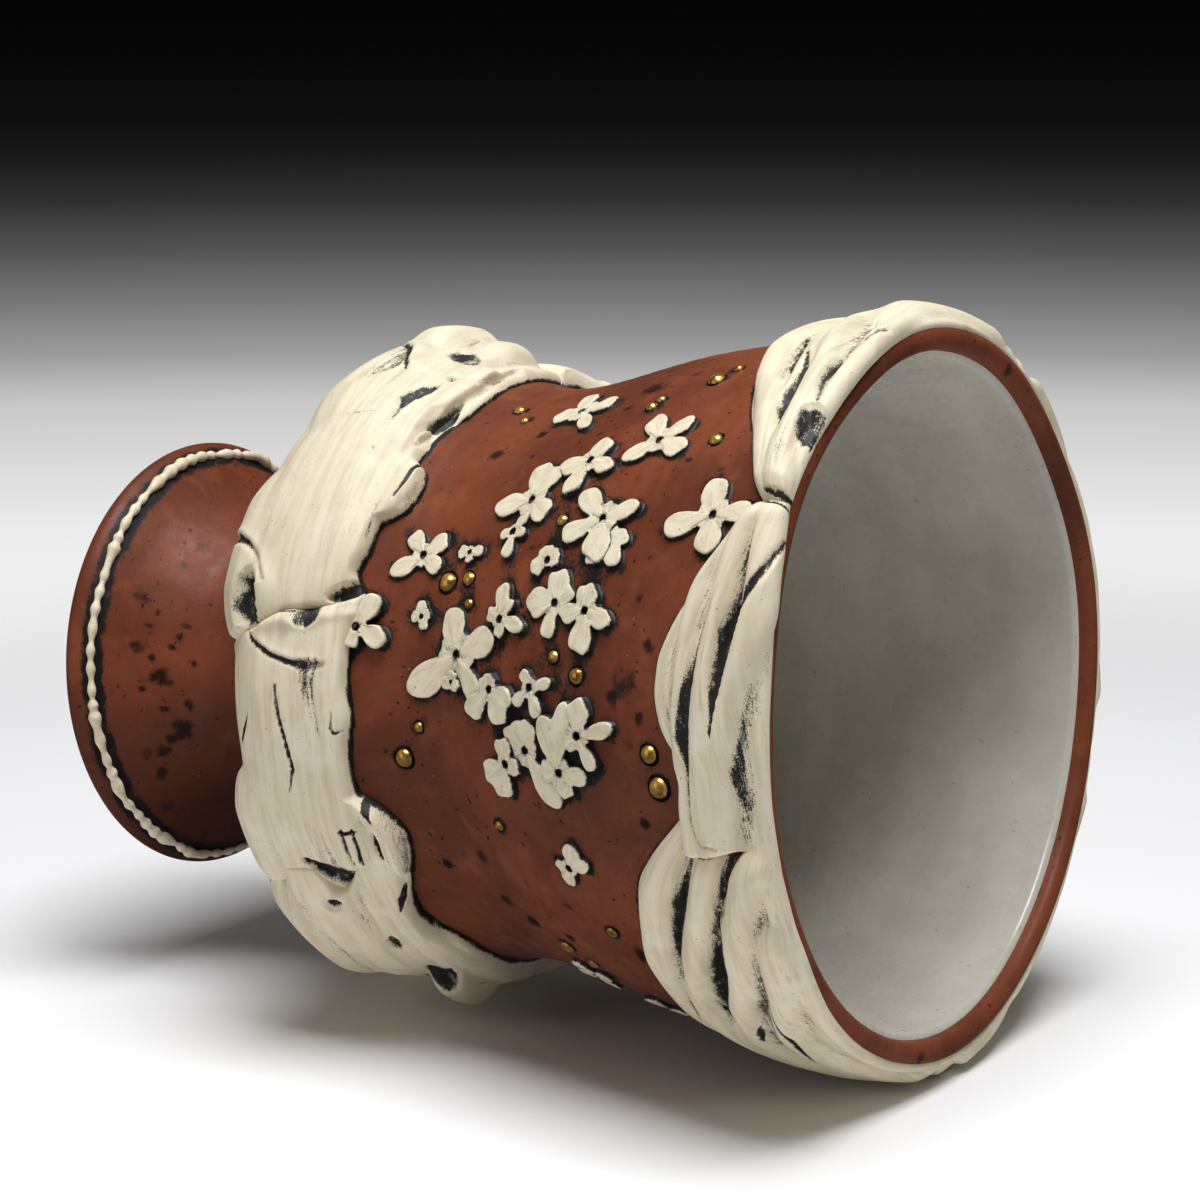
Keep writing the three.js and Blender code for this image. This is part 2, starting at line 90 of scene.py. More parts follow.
# Hand-made unevenness: throwing lines, and slow waves of (share, count, start), the wall's also with a twist
THROWING_PITCH = 2.6
THROWING_DEPTH = 0.025
GLAZE_LINES_PITCH = THROWING_PITCH * 3
GLAZE_LINES_DEPTH = THROWING_DEPTH * 2
LIP_WAVE = 0.35
LIP_WAVES = [(0.5, 4, 0.6), (0.35, 7, 2)]
LIP_DROP = 0.6
WALL_WAVE = 0.25
WALL_WAVES = [(1, 3, 1.1, 2), (0.6, 5, 0, 4), (0.4, 9, 0, 0)]

# How finely the turned pieces are divided: the bowl more finely in front, and its red field most finely
FRONT_ANGLE = 80
FRONT_COLUMNS = 320
BACK_COLUMNS = 240
FIELD_START = 54
FIELD_ROWS = 140
UNDERSIDE_ROWS = 14
LIP_ROWS = 12
INNER_ROWS = 6
INNER_TOP_END = 100
INNER_LOW_START = 96
FOOT_COLUMNS = 320
FOOT_EDGE_ROWS = 14
FOOT_SWEEP_ROWS = 60
FOOT_HOLLOW_ROWS = 20
LINER_COLUMNS = 360
LINER_ROWS = 110
AXIS_RADIUS = 0.01

# Steps for measuring slopes, cells of noise past a grid's edges, and how far a blur reaches in its own radii
SLOPE_STEP = 0.01
SLOPE_ANGLE = 0.5
NOISE_MARGIN = 3
NOISE_END = 2.001
BLUR_REACH = 3

# Porcelain drapery: its thickness, edges and mesh
SHEET_BODY = 1.5
SWAG_BODY = 0.5
SHEET_PITCH = 0.21
SWAG_PITCH = 0.19
LEAST_TALL = 4
END_SAMPLES = 20
EDGE_SAMPLES = 60
EDGE_CROWDING = 0.11
EDGE_ROUND = 1.3
DRAPERY_SUNK = 0.35
LEAST_STAND = 0.12
BORDER_RAGGED = 0.35
BORDER_CELLS = 3
BORDER_CELL_COLUMNS = 25

# Its folds and wrinkles; a set of wrinkles has its share, its spacing and its length
FOLD_TAPER = 1.5
FOLD_LEAST = 1e-6
FOLD_BLUR = 0.4
STREAK_DEPTH = 0.09
WRINKLES = [(0.6, 0.9, 7), (1, 2.7, 11)]

# Its hollows and pits, and the black in them and along its edges: wash, with painted shade in the hollows,
# pits and recesses
HOLLOW_LIP = 0.22
HOLLOW_LIP_WIDE = 0.7
HOLLOW_LIP_FULL = 0.6
HOLLOW_CUT = 0.28
HOLLOW_WIDEN = 0.3
HOLLOW_DEEP = 0.55
HOLLOW_FLAT = 0.75
HOLLOW_FLAT_POWER = 6
PIT_SOFT = 0.3
PIT_FRAY = 0.22
PIT_FRAY_CELL = 1.1
PIT_FADE = 0.45
# Darkening of the recesses: black wash with painted shade
CAVITY_DARKENING = 1.1
CAVITY_DARKENING_MOST = 0.7
CAVITY_DARKENING_BLUR = 1.4
WASH_EDGE = 0.22
WASH_EDGE_FULL = 1.25

# Sprigs
PETALS = 4
PETAL_SLENDERNESS = 0.34
PETAL_BLUNT = 0.45
PETAL_SPREAD = 0.518
PETAL_WIDEST = 1.1
SPRIG_HEIGHT = 0.62
SPRIG_WEB = 0.42
SPRIG_LEAST_WEB = 0.9
SPRIG_BLEND = 6
SPRIG_UNEVEN = 0.03
SPRIG_LOBES = (3, 7, 11)
SPRIG_NOTCH = 0.2
SPRIG_NOTCH_WASH = 0.35
SPRIG_SMALL = 3
SPRIG_SIDES = 150
SPRIG_STREAKS = 3
SPRIG_TOP = 0.8
SPRIG_DIMPLE = 0.05
SPRIG_DIMPLE_WAVES = (2.3, 1.9)
SPRIG_SMUDGE = 0.4
SPRIG_SMUDGE_REACH = 4
HOLE_RADIUS = 0.52

# Rings of a sprig, from its outline inwards: (distance, share of the height, black), the first two being the
# black line left on the wall and the next ones black wash with painted shade down its sides; then to the
# hole,
# and down in it: (share of the way, of the height, black)
EDGE_RINGS = [(-0.38, -0.06, 1), (-0.04, 0.02, 1), (0, 0.5, 0.9), (0.07, 0.88, 0.4), (0.2, 1, 0.05),
              (0.4, 1, 0)]
TOP_RINGS = [(0.25, 0.96, 0), (0.5, 0.93, 0), (0.75, 0.92, 0.05), (0.92, 0.95, 0.15), (1, 0.9, 0.5)]
HOLE_RINGS = [(0.96, 0.7, 1), (0.9, 0.15, 1), (0.05, 0.12, 1)]

# Gold dots: a dome in a black ring, as rings of (share of the radius, share of the rise, wash)
DOT_RADIUS = 1.1
DOT_RISE = 0.7
DOT_SIDES = 28
DOT_WOBBLE = 0.02
DOT_LOBES = 3
DOT_RINGS = [(0.02, 1, 0), (0.25, 0.97, 0), (0.45, 0.89, 0), (0.65, 0.74, 0), (0.82, 0.53, 0),
             (0.94, 0.28, 0.1), (1, 0.06, 0.9), (1.04, 0.03, 1), (1.3, 0.03, 1), (1.38, -0.1, 1)]

# The beaded slip line on the foot's edge, and the black band that it lies in
BEAD_COUNT = 68
BEAD_STEPS = 12
BEAD_SHIFT = 2.2
BEAD_SHIFT_CELLS = 0.8
TRAIL_RADIUS = 0.68
TRAIL_SIDES = 12
TRAIL_LEAST = 0.74
TRAIL_SWELL = 0.42
TRAIL_UNEVEN = 0.26
TRAIL_LIFT = 0.5
TRAIL_WANDER = 0.35
TRAIL_WANDER_CELLS = 0.6
TRAIL_WANDER_UP = 0.5
TRAIL_WASH = 0.3
TRAIL_WASH_POWER = 3
TRAIL_BAND = 1.45
TRAIL_BAND_BELOW = 1.25
TRAIL_BAND_SOFT = 0.8

# Black residue on the red wall round the ornaments
RESIDUE_MOST = 0.8
RESIDUE_REACH = 0.75
RESIDUE_FARTHEST = 6
SMEAR_MOST = 0.25
SMEAR_REACH = 1.8
EDGE_RESIDUE_REACH = 0.22
EDGE_RESIDUE_UNDER = 2
DRAPERY_START = -112

# Porcelain sheets round the belly. `top` and `bottom` are edges of (angle, height) points, `left` and `right`
# are ends of (share of the height, angle) points. A fold is a ridge, or a press where its height is
# negative: points, half width, height. A hollow is a line of (angle, height, width, black) points that
# is cut sharply along the line and fades out on its right side, or on its left side where the width is
# negative; then comes its depth. A pit: angle, height, half width, half height, turn, depth, black. Their
# black is wash together with painted shade, falling from a hollow's sharp side and where pieces overlap.
BELLY_SHEETS = [{
    "top": [(-98, 57), (-83, 58.6), (-70, 59.6), (-63, 60.2), (-57, 60.2), (-53, 59.5), (-50, 59),
            (-45, 58.7), (-41, 58.6), (-38.5, 60.4), (-35, 61.2), (-30, 60.6), (-27.5, 59), (-26, 57.8),
            (-20, 57.3), (-16, 56.6), (-13.5, 57.4), (-11, 58.2), (-8, 58), (-2, 57)],
    "bottom": [(-98, 33.5), (-75, 31.5), (-50, 31), (-30, 31.6), (-20, 32.5), (-12, 33.5), (-2, 35)],
    "left": [(0, -98), (1, -98)],
    "right": [(0, -2), (0.2, -2.6), (0.35, -4.5), (0.45, -6), (0.6, -7.4), (0.75, -8.4), (0.9, -9.4),
              (1, -10.2)],
    "folds": [
        ([(-98, 45), (-84, 46.5), (-68, 49), (-50, 49.5), (-35, 50.5), (-20, 51), (-7, 48)], 7, 1.6),
        ([(-98, 40), (-75, 39), (-50, 40), (-30, 43), (-7, 45)], 6, 1.3),
        ([(-50, 56), (-46, 56.4), (-36, 58.8), (-27, 56), (-9, 51.5)], 2.2, 1.1),
        ([(-74, 56), (-66, 56.8), (-58, 56.6), (-50, 55.8), (-43, 55.2)], 1.9, 1.3),
        ([(-98, 44.6), (-84, 45.6), (-71, 45)], 3.8, 4.2),
        ([(-98, 50), (-88, 51), (-77, 52)], 3.6, 2.6),
        ([(-55, 58.6), (-37, 58.6)], 2.2, -1.3),
        ([(-92, 42), (-75, 43.5), (-60, 44), (-42, 44)], 5, 2.8),
        ([(-81, 40.5), (-76, 44), (-69, 47.5), (-60, 49.4)], 1.6, 3),
        ([(-40, 38), (-22, 39), (-2, 39)], 5, 2.6),
        ([(-28, 36), (-22, 40.5), (-14, 44), (-7, 45)], 2.4, 1.7),
    ],
    "hollows": [
        ([(-59.5, 54.8, 0.3, 1), (-57.5, 54.9, 1.3, 1), (-55, 54.4, 1.7, 1), (-52.5, 53.6, 1.5, 1),
          (-50, 53.2, 0.6, 0.9), (-45, 53.1, 0.6, 0.5), (-39, 53.4, 0.2, 0.4)], 1.2),
        # Painted shadow cast by the ridge's edge below, fading towards the film above
        ([(-58, 58.4, -0.5, 0.8), (-55, 58.2, -0.9, 1), (-51.5, 57.6, -1, 1), (-49.5, 57.2, -0.8, 1),
          (-48.4, 57.2, -0.2, 1)], 0.7),
        ([(-78, 57.4, -1.6, 0.1), (-64, 58.6, -1.8, 0.2), (-53, 58, -1.6, 0.2), (-45, 57.4, -1, 0.1)], 1.2),
        ([(-74, 58.2, 0.4, 0.5), (-69, 58.6, 0.5, 0.7), (-64, 58.4, 0.3, 0.5)], 0.3),
        ([(-79, 40, 0.3, 1), (-75, 43.4, 0.5, 1), (-70, 46.2, 0.6, 1), (-66, 47.8, 0.6, 1),
          (-62, 49, 0.4, 1)], 0.9),
        ([(-70, 46.2, 1.8, 0.58), (-63, 48.1, 2.8, 0.66), (-57, 46.6, 1.6, 0.5)], 0.4),
        ([(-77, 41.8, 1.4, 0.55), (-71, 41, 2, 0.62), (-66, 39.6, 0.8, 0.4)], 0.3),
        ([(-91.5, 38, 0.8, 0.9), (-86.5, 37, 1.5, 1), (-80.5, 34.8, 0.4, 1)], 1.3),
        ([(-48, 51, 0.3, 0.6), (-47, 49, 0.4, 0.7), (-45.6, 46, 0.3, 0.6)], 0.2),
        ([(-42, 59.8, 0.3, 0.9), (-38, 59.9, 0.6, 1), (-34, 59.6, 0.5, 1), (-30.5, 58.7, 0.2, 0.9)], 0.6),
        ([(-39, 61.4, 0.6, 0.42), (-35, 61.6, 1.3, 0.45), (-30, 60.4, 0.9, 0.42)], 0.1),
        ([(-31, 57.8, 0.2, 0.6), (-27, 57.2, 0.5, 0.6), (-21, 56.8, 0.3, 0.5)], 0.1),
        ([(-24, 37, 1.3, 1), (-22, 40, 1.2, 1), (-20, 42, 0.7, 0.9), (-17, 44, 0.5, 0.5),
          (-13, 45.2, 0.4, 0.4)], 1),
    ],
    "pits": [(-62.8, 55.1, 0.8, 0.7, 0, 1, 1), (-9.4, 42.6, 4, 1.7, -6, 3, 1),
             (-12.4, 56.8, 1.2, 3.6, 22, 3, 1), (-72.4, 52.4, 2.6, 2.4, 10, 0.5, 0.85),
             (-90, 42.8, 2.8, 1.2, -15, 1.3, 0.9), (-95.5, 39, 0.9, 0.5, 0, 0.6, 0.9)],
}, {
    "top": [(-14, 57.4), (-11, 58.4), (-8, 58), (-3, 57.2), (5, 57), (10, 57.4), (14, 57), (20, 56.6),
            (24.5, 56.7), (26, 58), (29, 60.2), (34, 62), (39, 61.6), (43, 60.4), (48, 58.8)],
    "bottom": [(-16, 33.5), (-8, 33.5), (-3, 35), (1, 37.4), (20, 38.2), (26, 36.6), (50, 33.5)],
    "left": [(0, -3), (0.25, -4.6), (0.42, -5.2), (0.52, -7), (0.6, -8.4), (0.75, -9), (0.86, -10.1),
             (1, -12.6)],
    "right": [(0, 56), (0.2, 48.5), (0.35, 43.5), (0.5, 42.5), (0.6, 46.5), (0.7, 48), (0.85, 48), (1, 47)],
    "folds": [
        ([(-13, 50), (0, 48.5), (15, 48), (30, 48), (44, 48)], 7, 1.3),
        ([(-13, 55), (-2, 54), (14, 54.4), (26, 54), (44, 57)], 3, 1.1),
        ([(-9, 57), (-7, 52), (-5, 48), (-3.4, 45)], 1.6, 2.2),
        ([(24, 57), (28, 58.6), (34, 60), (44, 60)], 1.6, 1.5),
        ([(21, 41), (28, 40.6), (38, 40), (50, 39.6)], 4, 2.4),
        ([(38, 56.5), (62, 56.5)], 6, -2.2),
    ],
    "hollows": [
        ([(-7.6, 46.4, 0.3, 0.9), (-7.9, 49.4, 0.4, 0.9)], 0.3),
        ([(-5, 42.8, 0.3, 1), (-2.6, 45, 0.5, 1), (-0.6, 47.4, 0.5, 1), (0.4, 50, 0.6, 1),
          (0.5, 52, 1.4, 0.9), (0.5, 53.6, 0.9, 0.7)], 0.9),
        ([(0.6, 53.6, 0.6, 0.8), (4, 53.2, 0.7, 0.8), (8, 53.4, 0.5, 0.7), (13, 53.8, 0.3, 0.5)], 0.2),
        ([(0.6, 52.6, 0.8, 0.85), (4, 52.4, 0.8, 0.85), (8, 52.7, 0.6, 0.7), (11, 53, 0.3, 0.5)], 0.2),
        ([(0.6, 51.6, 0.6, 0.75), (4, 51.7, 0.5, 0.7), (7, 52, 0.3, 0.5)], 0.15),
        ([(5, 48.4, 0.35, 0.9), (10, 48.9, 0.4, 1), (15, 49.7, 0.4, 1), (19, 50.1, 0.45, 1),
          (23, 49.1, 0.3, 0.9)], 0.4),
        ([(9.3, 55.6, 0.3, 0.8), (11.8, 55.5, 0.4, 1), (12.4, 55.8, 0.4, 1), (12.3, 56.4, 0.3, 0.8)], 0.4),
        ([(10.5, 44.3, 0.3, 0.9), (13, 43.7, 0.45, 1), (16, 42.4, 0.4, 1), (19, 40.8, 0.3, 0.8)], 0.4),
        ([(30.8, 55.9, 0.4, 1), (34, 56, 0.45, 1), (37.8, 55.8, 0.35, 1)], 0.4),
        ([(30.8, 54.5, 0.4, 1), (34, 54.5, 0.45, 1), (37.6, 54.6, 0.3, 0.9)], 0.4),
        ([(30.8, 54.2, 0.45, 1), (30.7, 55.9, 0.45, 1)], 0.4),
        ([(31.8, 58.4, 0.3, 1), (34, 58.6, 0.7, 1), (37, 58.6, 0.3, 1)], 0.5),
        ([(25, 57.8, 0.4, 1), (27, 58.5, 0.8, 1), (29, 58.8, 0.3, 1)], 0.5),
        ([(27, 60, 1.2, 0.42), (33, 62, 2.4, 0.46), (40, 61.4, 2, 0.42)], 0.05),
        # Painted shadow where sheet 3's end overlaps this sheet
        ([(37.2, 48.2, -0.7, 1), (39.4, 49.4, -1.6, 1), (41.4, 50.5, -2.4, 0.95),
          (43.4, 51.6, -2.4, 0.95), (45, 52.4, -0.6, 1)], 1.3),
        ([(30, 51.6, 1, 0.4), (36, 52, 2.4, 0.5), (43, 52.8, 2.2, 0.55)], 0.1),
    ],
    "pits": [(-7.2, 51.4, 1.6, 2.2, 198, 1, 0.9)],
}, {
    "top": [(34, 61), (40, 61), (44, 60.2), (48, 59.2), (53, 58.6), (58, 59), (62, 60.2), (66, 60.8),
            (78, 60.5), (90, 59.5), (104, 57)],
    "bottom": [(34, 36), (50, 33), (75, 32.5), (90, 34), (104, 35.5)],
    "left": [(0, 51), (0.05, 49), (0.2, 43.4), (0.3, 40.2), (0.42, 37.8), (0.52, 37.4), (0.56, 39.5),
             (0.6, 41.5), (0.645, 43.2), (0.68, 43), (0.74, 38), (0.85, 36.5), (1, 37)],
    "right": [(0, 104), (1, 104)],
    "folds": [
        ([(34, 48), (50, 47.8), (60, 49), (76, 49)], 5, 1.8),
        ([(34, 57), (50, 56), (65, 56.5), (80, 57), (104, 53.5)], 3, 1.3),
        ([(20, 56.5), (48, 56.5)], 6, -0.6),
        ([(42, 40), (52, 41), (62, 41.5), (77, 42)], 4.4, 3),
        ([(69, 56), (76, 54.6), (82, 53.6), (92, 53)], 3, 3.8),
    ],
    "hollows": [
        ([(45, 59.4, 0.4, 1), (47.5, 58.8, 1, 1), (49.6, 57.6, 0.3, 1)], 0.8),
        ([(47, 55.8, 0.5, 0.4), (55, 55.8, 0.6, 0.5), (62, 55.8, 0.4, 0.4)], 0.1),
        ([(47, 52.3, 0.6, 0.4), (51, 52.3, 0.8, 0.5), (55, 52.1, 0.4, 0.4)], 0.1),
        ([(40.6, 43, 0.3, 0.9), (45, 40.5, 0.35, 0.9), (50, 37.4, 0.25, 0.8)], 0.3),
        ([(47, 45.4, 0.8, 0.3), (58, 45.8, 1.4, 0.45), (68, 46.6, 0.8, 0.4)], 0.6),
    ],
    "pits": [(46, 49.4, 1, 1.15, 0, 0.9, 1), (58.6, 53.4, 1.5, 0.8, 0, 0.6, 0.75),
             (71.5, 55.2, 1.8, 2.4, -15, 0.3, 1), (77, 52.6, 0.9, 1.3, -20, 0.2, 0.9)],
}, {
    "top": [(99, 57.2), (106, 58.8), (112, 60.6), (118, 61.2), (125, 59.6), (131, 58.6), (138, 59.4),
            (147, 61.4), (155, 61.8), (162, 60.2), (172, 58), (186, 56.5)],
    "bottom": [(97, 35.5), (112, 33), (125, 31.8), (140, 32.6), (150, 31.5), (165, 33.4), (187, 36)],
    "left": [(0, 97.5), (0.4, 100), (0.7, 98.5), (1, 99.5)],
    "right": [(0, 184), (0.25, 186.6), (0.45, 184), (0.6, 183), (0.8, 185), (1, 183)],
    "folds": [
        ([(97, 47), (115, 46), (140, 49), (160, 48), (187, 47)], 6.5, 1.6),
        ([(97, 53.5), (110, 57), (119, 58.4), (130, 56), (148, 58.4), (156, 58.8), (168, 56),
          (187, 53)], 3, 1.5),
        ([(97, 40.5), (120, 38), (145, 37.4), (165, 39.5), (187, 41)], 4.5, 1.7),
        ([(100, 40.6), (112, 46.5), (121, 51), (131, 55)], 2.4, 2.3),
        ([(127, 36.6), (136, 39), (145, 43), (154, 48), (165, 53)], 2.6, 2),
        ([(158, 43), (170, 41), (187, 42.5)], 3.2, 2.7),
        ([(108, 57), (118, 58.6), (127, 57)], 2, 2.3),
    ],
    "hollows": [
        ([(105, 40.4, 0.4, 1), (113, 44.6, 0.9, 1), (121, 48.9, 1.3, 1), (129, 52.2, 0.3, 0.9)], 1),
        ([(137, 37.4, 0.3, 0.9), (146, 41.4, 0.8, 1), (154, 46, 1.3, 1), (161, 49.6, 0.3, 0.9)], 1),
        ([(133, 55.6, 0.3, 1), (139, 55.8, 1, 1), (144, 54.8, 0.3, 0.8)], 0.9),
        ([(166, 46.4, 0.4, 0.6), (172, 46.2, 1.2, 0.7), (179, 45.6, 0.3, 0.5)], 0.4),
        ([(126, 43.6, 0.25, 0.9), (132, 44.6, 0.35, 1), (138, 44.4, 0.2, 0.9)], 0.3),
        ([(112, 59.8, 0.3, 0.8), (118, 60.4, 0.6, 1), (123, 59.4, 0.2, 0.8)], 0.5),
    ],
    "pits": [(151, 55, 1.7, 1, -10, 0.9, 0.95), (128, 48.4, 1.1, 0.7, 10, 0.6, 0.9),
             (173, 51.6, 2, 1.3, 15, 0.6, 0.85)],
}]

